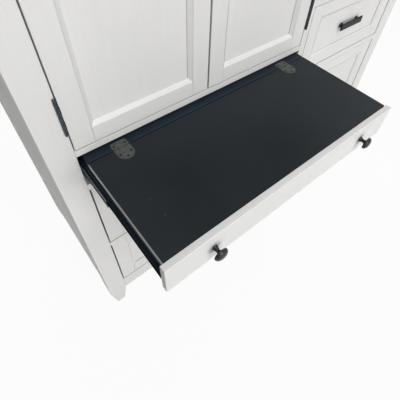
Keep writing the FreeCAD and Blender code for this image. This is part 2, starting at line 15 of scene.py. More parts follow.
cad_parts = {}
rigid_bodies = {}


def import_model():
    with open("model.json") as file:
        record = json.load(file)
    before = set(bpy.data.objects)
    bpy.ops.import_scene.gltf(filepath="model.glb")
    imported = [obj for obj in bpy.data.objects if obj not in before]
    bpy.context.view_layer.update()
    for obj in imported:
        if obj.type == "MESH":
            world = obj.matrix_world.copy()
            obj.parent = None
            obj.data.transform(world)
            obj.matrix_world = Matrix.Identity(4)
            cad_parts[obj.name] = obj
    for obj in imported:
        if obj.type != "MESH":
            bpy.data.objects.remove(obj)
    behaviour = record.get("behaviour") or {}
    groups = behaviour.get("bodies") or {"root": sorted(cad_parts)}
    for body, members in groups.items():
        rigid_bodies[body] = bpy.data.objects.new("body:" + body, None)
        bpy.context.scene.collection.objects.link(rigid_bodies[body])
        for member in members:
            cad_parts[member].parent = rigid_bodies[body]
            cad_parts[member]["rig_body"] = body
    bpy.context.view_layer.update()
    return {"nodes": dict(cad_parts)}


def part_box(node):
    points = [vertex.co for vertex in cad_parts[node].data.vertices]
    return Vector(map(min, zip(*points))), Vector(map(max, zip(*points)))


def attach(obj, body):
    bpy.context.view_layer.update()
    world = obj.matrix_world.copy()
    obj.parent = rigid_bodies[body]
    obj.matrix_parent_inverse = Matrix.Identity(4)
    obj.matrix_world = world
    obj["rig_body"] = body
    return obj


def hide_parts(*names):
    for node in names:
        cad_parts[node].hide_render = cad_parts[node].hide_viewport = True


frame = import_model()

LOG = logging.getLogger("cabinet_desk")
MM = 0.001
Colour = tuple[float, float, float]
Place = tuple[float, float, float]
Piece = bpy.types.Object

# The sockets of a Mix node that mixes colours
MIX_FACTOR = 0
MIX_FIRST = 6
MIX_SECOND = 7
MIX_COLOUR = 2

# The range of a mask
UNIT = (0.0, 1.0)

# Corners of a CAD mesh that are closer than this are one, and faces that turn by less are flat
MERGE_GAP = 0.002 * MM
FLAT_DEG = 0.5

# A unit vector's part above which it points along an axis, or mostly so
ALONG = 0.9
MOSTLY = 0.7


class Grain(Enum):
    """The way the grain of a board runs, as the axis that its streaks follow."""

    ACROSS = 0
    DEPTH = 1
    UPRIGHT = 2


class Slot(Enum):
    """The record's material slots."""

    WHITE = "white_paint"
    BLACK = "black_paint"
    DRAWER = "drawer_wood"
    HARDWARE = "hardware"
    LID_HINGE = "lid_hinge_metal"
    SLIDE = "slide_steel"
    CATCH = "catch_plastic"


# Modelling by hand


@contextmanager
def editing(piece: Piece) -> Iterator[None]:
    """Opens one piece in edit mode, with nothing of it selected, and closes it again.

    Args:
        piece: The mesh object to edit.

    Returns:
        A context in which mesh operators act on the piece alone.
    """
    make_active(piece)
    bpy.ops.object.mode_set(mode="EDIT")
    bpy.ops.mesh.select_mode(type="FACE")
    bpy.ops.mesh.select_all(action="DESELECT")
    yield
    bpy.ops.object.mode_set(mode="OBJECT")


def make_active(piece: Piece) -> None:
    """Selects one piece alone and makes it the active one."""
    bpy.ops.object.select_all(action="DESELECT")
    piece.select_set(True)
    bpy.context.view_layer.objects.active = piece


def pick_faces(piece: Piece, wanted: Callable[[Vector, Vector], bool]) -> None:
    """Selects the faces of a piece in edit mode by their place and normal.

    Args:
        piece: The mesh object in edit mode.
        wanted: Says for a face's centre and normal whether it is selected.
    """
    mesh = bmesh.from_edit_mesh(piece.data)
    for face in mesh.faces:
        face.select_set(wanted(face.calc_center_median(), face.normal))
    bmesh.update_edit_mesh(piece.data)


def extrude(step: Sequence[float]) -> None:
    """Extrudes what is selected in edit mode by a step."""
    bpy.ops.mesh.extrude_region_move(TRANSFORM_OT_translate={"value": step})


def add_block(name: str, low: Vector, high: Vector) -> Piece:
    """Adds a square-edged block.

    Args:
        name: The piece's name.
        low: Its lowest corner, in metres.
        high: Its highest corner, in metres.

    Returns:
        The block, at the origin with its place in its mesh.
    """
    bpy.ops.object.select_all(action="DESELECT")
    bpy.ops.mesh.primitive_cube_add(size=1.0, location=(low + high) / 2)
    piece = bpy.context.object
    piece.name = name
    piece.scale = high - low
    bpy.ops.object.transform_apply(location=True, rotation=True, scale=True)
    return piece


def apply_modifiers(piece: Piece) -> None:
    """Applies every modifier of a piece in order."""
    make_active(piece)
    for name in [modifier.name for modifier in piece.modifiers]:
        bpy.ops.object.modifier_apply(modifier=name)


def ease(piece: Piece, width: float, steps: int = 2, angle_deg: float = 30.0) -> None:
    """Rounds the sharp edges of a piece a little, as a maker eases a board.

    Args:
        piece: The piece, whose mesh is changed.
        width: The width of the rounding, in metres.
        steps: How many strips each rounding has.
        angle_deg: Edges that turn by less stay as they are.
    """
    bevel = piece.modifiers.new("eased", "BEVEL")
    bevel.width = width
    bevel.segments = steps
    bevel.limit_method = "ANGLE"
    bevel.angle_limit = math.radians(angle_deg)
    shade(piece)


def shade(piece: Piece, angle_deg: float = 50.0) -> None:
    """Applies a piece's modifiers and shades it smooth, with its flat faces kept flat.

    Args:
        piece: The piece to shade.
        angle_deg: Edges that turn by more stay sharp.
    """
    apply_modifiers(piece)
    bpy.ops.object.shade_smooth_by_angle(angle=math.radians(angle_deg))
    flat = piece.modifiers.new("flat", "WEIGHTED_NORMAL")
    flat.keep_sharp = True
    apply_modifiers(piece)


def cut(piece: Piece, cutter: Piece) -> None:
    """Cuts one piece out of another and removes the cutter."""
    tool = piece.modifiers.new("cut", "BOOLEAN")
    tool.operation = "DIFFERENCE"
    tool.solver = "EXACT"
    tool.object = cutter
    apply_modifiers(piece)
    bpy.data.meshes.remove(cutter.data)


def join(name: str, pieces: Sequence[Piece]) -> Piece:
    """Joins pieces into one object, with its slots in the order of the first piece's.

    Args:
        name: The name of the joined piece.
        pieces: The pieces, of which the first stays.

    Returns:
        The joined piece.
    """
    make_active(pieces[0])
    for piece in pieces[1:]:
        piece.select_set(True)
    bpy.ops.object.join()
    pieces[0].name = name
    return pieces[0]


def copy_to(piece: Piece, name: str, step: Vector) -> Piece:
    """Copies a piece with a mesh of its own.

    Args:
        piece: The piece to copy.
        name: The copy's name.
        step: How far the copy's mesh is moved, in metres.

    Returns:
        The copy.
    """
    twin = bpy.data.objects.new(name, piece.data.copy())
    twin.data.transform(Matrix.Translation(step))
    bpy.context.scene.collection.objects.link(twin)
    return twin


def turned(name: str, foot: Vector, out: Vector, profile: Sequence[tuple[float, float]],
           sides: int, sharp_deg: float = 40.0) -> Piece:
    """Turns a round piece by extruding and scaling a disc along an axis.

    Args:
        name: The piece's name.
        foot: The middle of the disc that it starts from.
        out: The direction of the axis, a unit vector.
        profile: Pairs of radius and distance along the axis, from the foot to the tip.
        sides: How many sides the disc has.
        sharp_deg: Edges that turn by more stay sharp.

    Returns:
        The closed, smooth piece.
    """
    bpy.ops.object.select_all(action="DESELECT")
    turn = out.to_track_quat("Z", "Y").to_euler()
    bpy.ops.mesh.primitive_circle_add(
        vertices=sides, radius=profile[0][0], fill_type="NGON", location=foot, rotation=turn)
    piece = bpy.context.object
    piece.name = name
    bpy.ops.object.transform_apply(location=True, rotation=True, scale=True)
    with editing(piece):
        bpy.ops.mesh.select_all(action="SELECT")
        for (radius, along), (next_radius, next_along) in zip(profile, profile[1:]):
            extrude(out * (next_along - along))
            spread = [1.0 if abs(part) > ALONG else next_radius / radius for part in out]
            bpy.ops.transform.resize(value=spread, center_override=foot + out * next_along)
        bpy.ops.mesh.select_all(action="SELECT")
        bpy.ops.mesh.normals_make_consistent(inside=False)
    shade(piece, sharp_deg)
    return piece


def eased_copy(node: str, width: float) -> Piece:
    """Copies a CAD node's mesh, merges its triangles into flat faces and eases its edges.

    Args:
        node: The CAD node.
        width: The width of the easing, in metres.

    Returns:
        The copy, which isn't dressed yet.
    """
    piece = merged_copy(node)
    ease(piece, width)
    return piece


def merged_copy(node: str) -> Piece:
    """Copies a CAD node's mesh with its loose triangles merged into flat faces.

    Args:
        node: The CAD node.

    Returns:
        The copy, with no material and no normals of its own.
    """
    piece = bpy.data.objects.new(node + "_look", frame["nodes"][node].data.copy())
    bpy.context.scene.collection.objects.link(piece)
    piece.data.materials.clear()
    make_active(piece)
    bpy.ops.mesh.customdata_custom_splitnormals_clear()
    with editing(piece):
        bpy.ops.mesh.select_all(action="SELECT")
        bpy.ops.mesh.remove_doubles(threshold=MERGE_GAP)
        bpy.ops.mesh.dissolve_limited(angle_limit=math.radians(FLAT_DEG))
    return piece


def body_of(node: str) -> str:
    """The name of the body that a CAD node rides on."""
    return frame["nodes"][node]["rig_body"]


def set_in_place(piece: Piece, node: str) -> None:
    """Lets a finished piece stand for a CAD node.

    Args:
        piece: The finished piece.
        node: The CAD node that it stands for and rides with.
    """
    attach(piece, body_of(node))
    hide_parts(node)
    LOG.info("%s stands for %s", piece.name, node)


def paint_faces(piece: Piece, slot_index: int, wanted: Callable[[Vector, Vector], bool]) -> None:
    """Gives faces another of the piece's material slots by their place and normal.

    Args:
        piece: The piece, in object mode.
        slot_index: The index of the material slot.
        wanted: Says for a face's centre and normal whether it gets that slot.
    """
    for face in piece.data.polygons:
        if wanted(face.center, face.normal):
            face.material_index = slot_index


# Node trees


class Wiring:
    """A node tree being wired, with short ways to add nodes and feed their sockets."""

    def __init__(self, tree: bpy.types.NodeTree) -> None:
        """Starts on a tree."""
        self.tree = tree

    def add(self, kind: str, feeds: dict[str | int, object] | None = None,
            **settings: object) -> bpy.types.Node:
        """Adds a node.

        Args:
            kind: The node's type name.
            feeds: A value or an output socket for each input named.
            settings: Properties of the node itself.

        Returns:
            The new node.
        """
        node = self.tree.nodes.new(kind)
        for name, value in settings.items():
            setattr(node, name, value)
        for name, value in (feeds or {}).items():
            self.feed(node.inputs[name], value)
        return node

    def feed(self, socket: bpy.types.NodeSocket, value: object) -> None:
        """Links an output socket to an input, or sets the input's own value."""
        if isinstance(value, bpy.types.NodeSocket):
            self.tree.links.new(value, socket)
        else:
            socket.default_value = value

    def math(self, operation: str, *values: object) -> bpy.types.NodeSocket:
        """Adds a Math node and returns its result."""
        return self.add("ShaderNodeMath", dict(enumerate(values)), operation=operation).outputs[0]

    def span(self, value: object, source: tuple[float, float], target: tuple[float, float],
             smooth: bool = False) -> bpy.types.NodeSocket:
        """Maps a value from one range to another.

        Args:
            value: The value or socket to map.
            source: The range that it comes from.
            target: The range that it goes to, clamped at both ends.
            smooth: Whether the ends ease in and out.

        Returns:
            The mapped value.
        """
        kind = "SMOOTHSTEP" if smooth else "LINEAR"
        feeds = {"Value": value, "From Min": source[0], "From Max": source[1], "To Min": target[0],
                 "To Max": target[1]}
        return self.add("ShaderNodeMapRange", feeds, interpolation_type=kind).outputs["Result"]

    def blend(self, factor: object, first: object, second: object) -> bpy.types.NodeSocket:
        """Mixes two colours.

        Args:
            factor: How much of the second colour shows.
            first: The first colour or socket.
            second: The second colour or socket.

        Returns:
            The mixed colour.
        """
        feeds = {MIX_FACTOR: factor, MIX_FIRST: first, MIX_SECOND: second}
        return self.add("ShaderNodeMix", feeds, data_type="RGBA").outputs[MIX_COLOUR]

    def noise(self, vector: bpy.types.NodeSocket, scale: object, detail: float,
              roughness: float = 0.5) -> bpy.types.NodeSocket:
        """Adds a Noise Texture and returns its value."""
        feeds = {"Vector": vector, "Scale": scale, "Detail": detail, "Roughness": roughness}
        return self.add("ShaderNodeTexNoise", feeds).outputs[0]


def opaque(colour: Colour) -> tuple[float, float, float, float]:
    """A colour with its alpha."""
    return (*colour, 1.0)


def new_group(name: str, inputs: Sequence[tuple[str, str, object]],
              outputs: Sequence[str]) -> tuple[Wiring, bpy.types.Node, bpy.types.Node]:
    """Starts a shader node group.

    Args:
        name: The group's name.
        inputs: A name, a socket type and a default value for each input.
        outputs: The names of its values that come out.

    Returns:
        The group's wiring, its input node and its output node.
    """
    tree = bpy.data.node_groups.new(name, "ShaderNodeTree")
    for label, kind, value in inputs:
        socket = tree.interface.new_socket(label, in_out="INPUT", socket_type=kind)
        if value is not None:
            socket.default_value = value
    for label in outputs:
        tree.interface.new_socket(label, in_out="OUTPUT", socket_type="NodeSocketFloat")
    wiring = Wiring(tree)
    return wiring, wiring.add("NodeGroupInput"), wiring.add("NodeGroupOutput")


def brushed_grain() -> bpy.types.NodeTree:
    """Makes the group for streaks of grain that show through a finish.

    Returns:
        A group whose Tone runs from 0 to 1 and whose Height dips along the pores.
    """
    inputs = [("Vector", "NodeSocketVector", None), ("Pores", "NodeSocketFloat", 0.5)]
    wiring, start, end = new_group("brushed_grain", inputs, ["Tone", "Height"])
    vector = start.outputs["Vector"]
    broad_share = 0.25
    broad = wiring.noise(vector, scale=0.22, detail=2.0)
    streak = wiring.noise(vector, scale=1.0, detail=3.0, roughness=0.6)
    fine = wiring.noise(vector, scale=3.1, detail=2.0, roughness=0.6)
    slow = wiring.math("MULTIPLY", broad, broad_share)
    tone = wiring.math("ADD", slow, wiring.math("MULTIPLY", streak, 1 - broad_share))
    opened = wiring.span(fine, source=(0.56, 0.72), target=UNIT, smooth=True)
    pores = wiring.math("MULTIPLY", opened, start.outputs["Pores"])
    wiring.feed(end.inputs["Tone"], wiring.span(tone, source=(0.3, 0.7), target=UNIT))
    wiring.feed(end.inputs["Height"], wiring.math("SUBTRACT", streak, pores))
    return wiring.tree


def soft_mottle() -> bpy.types.NodeTree:
    """Makes the group for the slow, soft unevenness of a sprayed or handled surface.

    Returns:
        A group whose Mottle runs from 0 to 1 and whose Film is a fine pebbled height.
    """
    inputs = [("Vector", "NodeSocketVector", None), ("Patch", "NodeSocketFloat", 5.0)]
    wiring, start, end = new_group("soft_mottle", inputs, ["Mottle", "Film"])
    vector = start.outputs["Vector"]
    patch = wiring.noise(vector, scale=start.outputs["Patch"], detail=4.0)
    wiring.feed(end.inputs["Mottle"], wiring.span(patch, source=(0.32, 0.68), target=UNIT, smooth=True))
    wiring.feed(end.inputs["Film"], wiring.noise(vector, scale=900.0, detail=1.0))
    return wiring.tree


def worn_edge() -> bpy.types.NodeTree:
    """Makes the group for the rubbed edges of a metal piece.

    Returns:
        A group whose Mask is 1 along worn edges and 0 on flat faces.
    """
    inputs = [("Vector", "NodeSocketVector", None), ("Radius", "NodeSocketFloat", 0.8 * MM)]
    wiring, start, end = new_group("worn_edge", inputs, ["Mask"])
    rounded = wiring.add("ShaderNodeBevel", {"Radius": start.outputs["Radius"]}, samples=4)
    flat = wiring.add("ShaderNodeNewGeometry")
    feeds = {0: rounded.outputs["Normal"], 1: flat.outputs["Normal"]}
    along = wiring.add("ShaderNodeVectorMath", feeds, operation="DOT_PRODUCT").outputs["Value"]
    edge = wiring.span(along, source=(0.99, 0.8), target=UNIT, smooth=True)
    rubs = wiring.noise(start.outputs["Vector"], scale=260.0, detail=3.0)
    patchy = wiring.span(rubs, source=(0.4, 0.62), target=UNIT)
    wiring.feed(end.inputs["Mask"], wiring.math("MULTIPLY", edge, patchy))
    return wiring.tree


def dust_specks() -> bpy.types.NodeTree:
    """Makes the group for the dusty specks on a level face.

    Returns:
        A group whose Mask is 1 on a speck.
    """
    wiring, start, end = new_group("dust_specks", [("Vector", "NodeSocketVector", None)], ["Mask"])
    feeds = {"Vector": start.outputs["Vector"], "Scale": 18.0}
    cells = wiring.add("ShaderNodeTexVoronoi", feeds, voronoi_dimensions="2D")
    chosen = wiring.add("ShaderNodeSeparateColor", {0: cells.outputs["Color"]})
    largest = 0.026
    size = wiring.span(chosen.outputs[0], source=(0.5, 1.0), target=(0.0, largest))
    spot = wiring.math("LESS_THAN", cells.outputs["Distance"], size)
    wiring.feed(end.inputs["Mask"], wiring.math("MULTIPLY", spot, chosen.outputs[1]))
    return wiring.tree


def spot_haze() -> bpy.types.NodeTree:
    """Makes the group for a haze that grows away from one spot of a level face; on the strip it is painted
    shade, which leaves the strip darker along its rear edge.

    Returns:
        A group whose Mask is 0 at the spot and 1 where the haze is thickest.
    """
    inputs = [("Vector", "NodeSocketVector", None), ("Spot", "NodeSocketVector", None),
              ("Fall", "NodeSocketVector", None)]
    wiring, start, end = new_group("spot_haze", inputs, ["Mask"])
    away = wiring.add("ShaderNodeVectorMath", {0: start.outputs["Vector"], 1: start.outputs["Spot"]},
                      operation="SUBTRACT").outputs["Vector"]
    scaled = wiring.add("ShaderNodeVectorMath", {0: away, 1: start.outputs["Fall"]},
                        operation="MULTIPLY").outputs["Vector"]
    length = wiring.add("ShaderNodeVectorMath", {0: scaled}, operation="LENGTH").outputs["Value"]
    wiring.feed(end.inputs["Mask"], wiring.span(length, source=(0.35, 1.0), target=UNIT, smooth=True))
    return wiring.tree


class Effects:
    """The shared shader node groups, each built once."""

    def __init__(self) -> None:
        """Builds the groups."""
        self.grain = brushed_grain()
        self.mottle = soft_mottle()
        self.wear = worn_edge()
        self.specks = dust_specks()
        self.haze = spot_haze()


EFFECTS = Effects()


# Finishes


@dataclass(frozen=True)
class Finish:
    """What every finish has.

    Attributes:
        name: The material's name.
        colour: The colour of most of the surface, linear.
        low_roughness: The roughness where it is smoothest.
        high_roughness: The roughness where it is dullest.
        shine: The shader's specular level.
    """

    name: str
    colour: Colour
    low_roughness: float
    high_roughness: float
    shine: float

    def start(self, name: str) -> tuple[bpy.types.Material, Wiring, bpy.types.Node, bpy.types.NodeSocket]:
        """Starts a material with its Principled shader.

        Args:
            name: The material's name.

        Returns:
            The material, its wiring, its Principled node and the piece's own coordinates.
        """
        material = bpy.data.materials.new(name)
        material.use_nodes = True
        material.diffuse_color = opaque(self.colour)
        wiring = Wiring(material.node_tree)
        shader = material.node_tree.nodes["Principled BSDF"]
        shader.inputs["Specular IOR Level"].default_value = self.shine
        return material, wiring, shader, wiring.add("ShaderNodeTexCoord").outputs["Object"]

    def group(self, wiring: Wiring, tree: bpy.types.NodeTree, **feeds: object) -> bpy.types.Node:
        """Places one of the shared groups in a material."""
        return wiring.add("ShaderNodeGroup", feeds, node_tree=tree)

    def bump(self, wiring: Wiring, shader: bpy.types.Node, height: object, depth: float,
             strength: float) -> None:
        """Feeds a height to the shader's normal.

        Args:
            wiring: The material's wiring.
            shader: Its Principled node.
            height: The height, from 0 to 1.
            depth: How deep a height of 1 is, in metres.
            strength: How much of it shows.
        """
        feeds = {"Height": height, "Distance": depth, "Strength": strength}
        wiring.feed(shader.inputs["Normal"], wiring.add("ShaderNodeBump", feeds).outputs["Normal"])

    def roughen(self, wiring: Wiring, shader: bpy.types.Node, mottle: bpy.types.NodeSocket) -> None:
        """Feeds the shader's roughness, which follows the mottle from smoothest to dullest."""
        span = (self.low_roughness, self.high_roughness)
        wiring.feed(shader.inputs["Roughness"], wiring.span(mottle, UNIT, span))


@dataclass(frozen=True)
class DustAndShade:
    """A few dusty specks on a level face, and a haze that thins out towards one spot; on the strip the haze
    is painted shade, darker at its rear edge under the cabinet.

    Attributes:
        speck: The colour of a speck.
        haze: The colour of the haze.
        spot: The X and Y of the spot where the haze is thinnest, in metres.
        reach: How far along X and Y the haze gets thickest.
        thin: The share of the haze in its thinnest patches.
    """

    speck: Colour
    haze: Colour
    spot: tuple[float, float]
    reach: tuple[float, float]
    thin: float = 0.6


@dataclass(frozen=True)
class GrainedFinish(Finish):
    """A paint or lacquer on wood, with the wood's grain in it.

    Attributes:
        line_colour: The colour in the lines of the grain.
        line_share: How much of that colour shows.
        patch_colour: The colour of the faint patches.
        streak: The length and the width of a streak, in metres.
        relief: How deep the grain is, in metres.
        pores: How deep the pores are against the streaks.
        film: How deep the film's pebbles are against the grain.
        strength: How much of the relief shows.
        dust_and_shade: Dusty specks and a haze on its upper side, or None; on the strip the haze is painted
            shade.
    """

    line_colour: Colour
    line_share: float
    patch_colour: Colour
    streak: tuple[float, float]
    relief: float
    pores: float = 0.5
    film: float = 0.15
    strength: float = 0.5
    dust_and_shade: DustAndShade | None = None

    def material(self, grain: Grain) -> bpy.types.Material:
        """Makes the material for one way of the grain, or finds the one made before.

        Args:
            grain: The way the grain runs.

        Returns:
            The material.
        """
        name = f"{self.name}_{grain.name.lower()}"
        if name in bpy.data.materials:
            return bpy.data.materials[name]
        material, wiring, shader, place = self.start(name)
        length, width = self.streak
        scale = [1 / width] * 3
        scale[grain.value] = 1 / length
        stretched = wiring.add("ShaderNodeMapping", {"Vector": place, "Scale": scale}).outputs["Vector"]
        lines = self.group(wiring, EFFECTS.grain, Vector=stretched, Pores=self.pores)
        patches = self.group(wiring, EFFECTS.mottle, Vector=place)
        mottle = patches.outputs["Mottle"]
        share = wiring.math("MULTIPLY", lines.outputs["Tone"], self.line_share)
        base = wiring.blend(mottle, opaque(self.colour), opaque(self.patch_colour))
        paint = wiring.blend(share, base, opaque(self.line_colour))
        if self.dust_and_shade:
            paint = self.dusted_and_shaded(wiring, place, mottle, paint)
        wiring.feed(shader.inputs["Base Color"], paint)
        self.roughen(wiring, shader, mottle)
        film = wiring.math("MULTIPLY", patches.outputs["Film"], self.film)
        height = wiring.math("ADD", lines.outputs["Height"], film)
        self.bump(wiring, shader, height, self.relief, self.strength)
        return material

    def dusted_and_shaded(self, wiring: Wiring, place: bpy.types.NodeSocket, mottle: bpy.types.NodeSocket,
               paint: bpy.types.NodeSocket) -> bpy.types.NodeSocket:
        """Lays the haze and the dusty specks over the paint; on the strip the haze is painted shade.

        Args:
            wiring: The material's wiring.
            place: The piece's own coordinates.
            mottle: The slow unevenness of the surface.
            paint: The colour of the paint.

        Returns:
            The colour with its haze and its specks.
        """
        across, deep = self.dust_and_shade.reach
        spot = (*self.dust_and_shade.spot, 0.0)
        fall = (1 / across, 1 / deep, 0.0)
        haze = self.group(wiring, EFFECTS.haze, Vector=place, Spot=spot, Fall=fall)
        uneven = wiring.span(mottle, UNIT, (self.dust_and_shade.thin, 1.0))
        thick = wiring.math("MULTIPLY", haze.outputs["Mask"], uneven)
        hazy = wiring.blend(thick, paint, opaque(self.dust_and_shade.haze))
        specks = self.group(wiring, EFFECTS.specks, Vector=place)
        return wiring.blend(specks.outputs["Mask"], hazy, opaque(self.dust_and_shade.speck))


@dataclass(frozen=True)
class MetalFinish(Finish):
    """A painted or plated metal with rubbed edges.

    Attributes:
        patch_colour: The colour of faint patches.
        edge_colour: The colour where an edge is rubbed.
        edge_share: How much of that colour shows there.
        metallic: How metallic the surface is.
        patch: How many patches there are in a metre.
        dents: How deep the patches are cast into the surface, in metres.
        film: How deep the film's pebbles are, in metres.
    """

    patch_colour: Colour
    edge_colour: Colour
    edge_share: float
    metallic: float
    patch: float = 60.0
    dents: float = 0.0
    film: float = 0.02 * MM

    def material(self) -> bpy.types.Material:
        """Makes the material, or finds the one made before.

        Returns:
            The material.
        """
        if self.name in bpy.data.materials:
            return bpy.data.materials[self.name]
        material, wiring, shader, place = self.start(self.name)
        patches = self.group(wiring, EFFECTS.mottle, Vector=place, Patch=self.patch)
        edges = self.group(wiring, EFFECTS.wear, Vector=place)
        mottle = patches.outputs["Mottle"]
        base = wiring.blend(mottle, opaque(self.colour), opaque(self.patch_colour))
        share = wiring.math("MULTIPLY", edges.outputs["Mask"], self.edge_share)
        wiring.feed(shader.inputs["Base Color"], wiring.blend(share, base, opaque(self.edge_colour)))
        self.roughen(wiring, shader, mottle)
        shader.inputs["Metallic"].default_value = self.metallic
        film = wiring.math("MULTIPLY", patches.outputs["Film"], self.film)
        cast = wiring.math("MULTIPLY", mottle, self.dents)
        self.bump(wiring, shader, wiring.math("ADD", film, cast), depth=1.0, strength=1.0)
        return material


@dataclass(frozen=True)
class FleckedFinish(Finish):
    """A plain, matt material with small flecks, such as a raw board edge or a moulded plastic.

    Attributes:
        fleck_colour: The colour of the flecks.
        fleck_size: How large a fleck is, in metres.
        patch: How many patches of roughness there are in a metre.
        relief: How deep the flecks are, in metres.
        strength: How much of the relief shows.
    """

    fleck_colour: Colour
    fleck_size: float
    patch: float = 25.0
    relief: float = 0.1 * MM
    strength: float = 0.4

    def material(self) -> bpy.types.Material:
        """Makes the material, or finds the one made before.

        Returns:
            The material.
        """
        if self.name in bpy.data.materials:
            return bpy.data.materials[self.name]
        material, wiring, shader, place = self.start(self.name)
        fleck = wiring.noise(place, scale=1 / self.fleck_size, detail=3.0, roughness=0.6)
        patches = self.group(wiring, EFFECTS.mottle, Vector=place, Patch=self.patch)
        share = wiring.span(fleck, source=(0.42, 0.68), target=UNIT, smooth=True)
        flecked = wiring.blend(share, opaque(self.colour), opaque(self.fleck_colour))
        wiring.feed(shader.inputs["Base Color"], flecked)
        self.roughen(wiring, shader, patches.outputs["Mottle"])
        self.bump(wiring, shader, fleck, self.relief, self.strength)
        return material


WHITE_PAINT = GrainedFinish(
    "white_paint", (0.741, 0.743, 0.744), 0.45, 0.55, 0.35,
    line_colour=(0.608, 0.608, 0.606), line_share=0.2, patch_colour=(0.721, 0.723, 0.724),
    streak=(120 * MM, 2.6 * MM), relief=0.16 * MM)
# The sides' paint: the wood's stronger grain lines, and a darker, warmer tone that is painted shade on the
# faces that look left and right.
SHADED_SIDE_PAINT = replace(
    WHITE_PAINT, name="side_paint", colour=(0.735, 0.728, 0.715),
    line_colour=(0.54, 0.525, 0.50), line_share=0.38, patch_colour=(0.715, 0.707, 0.693),
    streak=(160 * MM, 5 * MM))
BLACK_PAINT = GrainedFinish(
    "black_paint", (0.0014, 0.0045, 0.0067), 0.38, 0.46, 0.2,
    line_colour=(0.006, 0.010, 0.012), line_share=0.3, patch_colour=(0.0043, 0.0085, 0.0122),
    streak=(300 * MM, 4 * MM), relief=0.03 * MM, pores=0.2,
    dust_and_shade=DustAndShade(speck=(0.06, 0.065, 0.07), haze=(0.0102, 0.0148, 0.0195),
              spot=(-0.36, -0.33), reach=(0.31, 0.25)))
# The strip's haze is painted shade: the strip is left darker along its rear edge, under the cabinet, and
# lighter towards its front. Its specks are dust.
STRIP_PAINT = replace(
    BLACK_PAINT, name="strip_paint", colour=(0.0028, 0.0086, 0.0172),
    low_roughness=0.42, high_roughness=0.52, shine=0.16,
    line_colour=(0.009, 0.014, 0.021), line_share=0.4, patch_colour=(0.0040, 0.0100, 0.0192),
    dust_and_shade=DustAndShade(speck=(0.06, 0.065, 0.07), haze=(0.0135, 0.0245, 0.0330),
              spot=(-0.23, -0.0735), reach=(10.0, 0.026)))
TRAY_PAINT = replace(
    STRIP_PAINT, name="tray_paint", colour=(0.0070, 0.0112, 0.0175),
    line_colour=(0.011, 0.016, 0.023), patch_colour=(0.0085, 0.0130, 0.0205), dust_and_shade=None)
DRAWER_WOOD = GrainedFinish(
    "drawer_wood", (0.62, 0.45, 0.28), 0.45, 0.6, 0.4,
    line_colour=(0.42, 0.27, 0.14), line_share=0.6, patch_colour=(0.66, 0.50, 0.33),
    streak=(160 * MM, 3 * MM), relief=0.1 * MM, pores=0.8)
RAW_EDGE = FleckedFinish(
    "raw_edge", (0.58, 0.57, 0.575), 0.6, 0.75, 0.3,
    fleck_colour=(0.47, 0.46, 0.465), fleck_size=1.5 * MM)
BLACK_IRON = MetalFinish(
    "black_iron", (0.0050, 0.0062, 0.0078), 0.20, 0.34, 0.24, patch_colour=(0.022, 0.028, 0.035),
    edge_colour=(0.05, 0.055, 0.065), edge_share=0.4, metallic=0.0, patch=300.0, dents=0.14 * MM)
PULL_IRON = replace(BLACK_IRON, name="pull_iron", shine=0.1, patch_colour=(0.014, 0.019, 0.024))
HINGE_IRON = replace(
    BLACK_IRON, name="hinge_iron", colour=(0.034, 0.043, 0.052),
    patch_colour=(0.058, 0.068, 0.078), dents=0.06 * MM)
BLACK_STEEL = MetalFinish(
    "black_steel", (0.0095, 0.0145, 0.0225), 0.50, 0.60, 0.05, patch_colour=(0.013, 0.019, 0.029),
    edge_colour=(0.03, 0.035, 0.045), edge_share=0.3, metallic=0.0)
# A light, metallic steel colour, laid along the upper rolled corners of the slides' middle members as a
# painted highlight.
PAINTED_HIGHLIGHT_STEEL = MetalFinish(
    "painted_highlight_steel", (0.42, 0.43, 0.45), 0.3, 0.42, 0.5, patch_colour=(0.34, 0.35, 0.37),
    edge_colour=(0.5, 0.5, 0.52), edge_share=0.3, metallic=0.6)
DARK_SCREW = MetalFinish(
    "dark_screw", (0.011, 0.012, 0.013), 0.45, 0.55, 0.2, patch_colour=(0.015, 0.016, 0.017),
    edge_colour=(0.03, 0.03, 0.03), edge_share=0.3, metallic=0.0)
HINGE_BRONZE = MetalFinish(
    "hinge_bronze", (0.085, 0.090, 0.083), 0.42, 0.56, 0.3, patch_colour=(0.058, 0.064, 0.060),
    edge_colour=(0.13, 0.13, 0.12), edge_share=0.5, metallic=0.3, patch=150.0)
# The knuckles' darker tone is partly oxide and partly painted shade of the gap round the pin.
KNUCKLE_BRONZE = replace(
    HINGE_BRONZE, name="knuckle_bronze", colour=(0.040, 0.046, 0.044),
    patch_colour=(0.030, 0.036, 0.035), edge_colour=(0.08, 0.08, 0.075), edge_share=0.3)
CATCH_PLASTIC = FleckedFinish(
    "catch_plastic", (0.70, 0.70, 0.69), 0.45, 0.55, 0.5,
    fleck_colour=(0.66, 0.66, 0.65), fleck_size=0.8 * MM)


# Case


@dataclass
class Boards:
    """Single boards that keep their CAD shape and get eased edges.

    Attributes:
        grain: The way the grain of each node runs.
        slot: The record's slot that they share. It is not used.
        finish: Their finish.
        easing: The width of the easing, in metres.
        outer: The finish of the faces that look left or right, away from the desk's middle, or None. On the
            case it carries painted shade, a darker, warmer tone than the front.
    """

    grain: dict[str, Grain]
    slot: Slot
    finish: GrainedFinish
    easing: float
    outer: GrainedFinish | None = None

    def build(self) -> None:
        """Makes and dresses a piece for each node."""
        for node, grain in self.grain.items():
            piece = eased_copy(node, self.easing)
            piece.data.materials.append(self.finish.material(grain))
            if self.outer:
                piece.data.materials.append(self.outer.material(grain))
                paint_faces(piece, 1, self.looks_out)
            set_in_place(piece, node)

    def looks_out(self, centre: Vector, normal: Vector) -> bool:
        """Says whether a face looks left or right, away from the desk's middle, and so takes the outer finish
        with its painted shade.
        """
        return abs(normal.x) > MOSTLY and normal.x * centre.x > 0


# Framed fronts


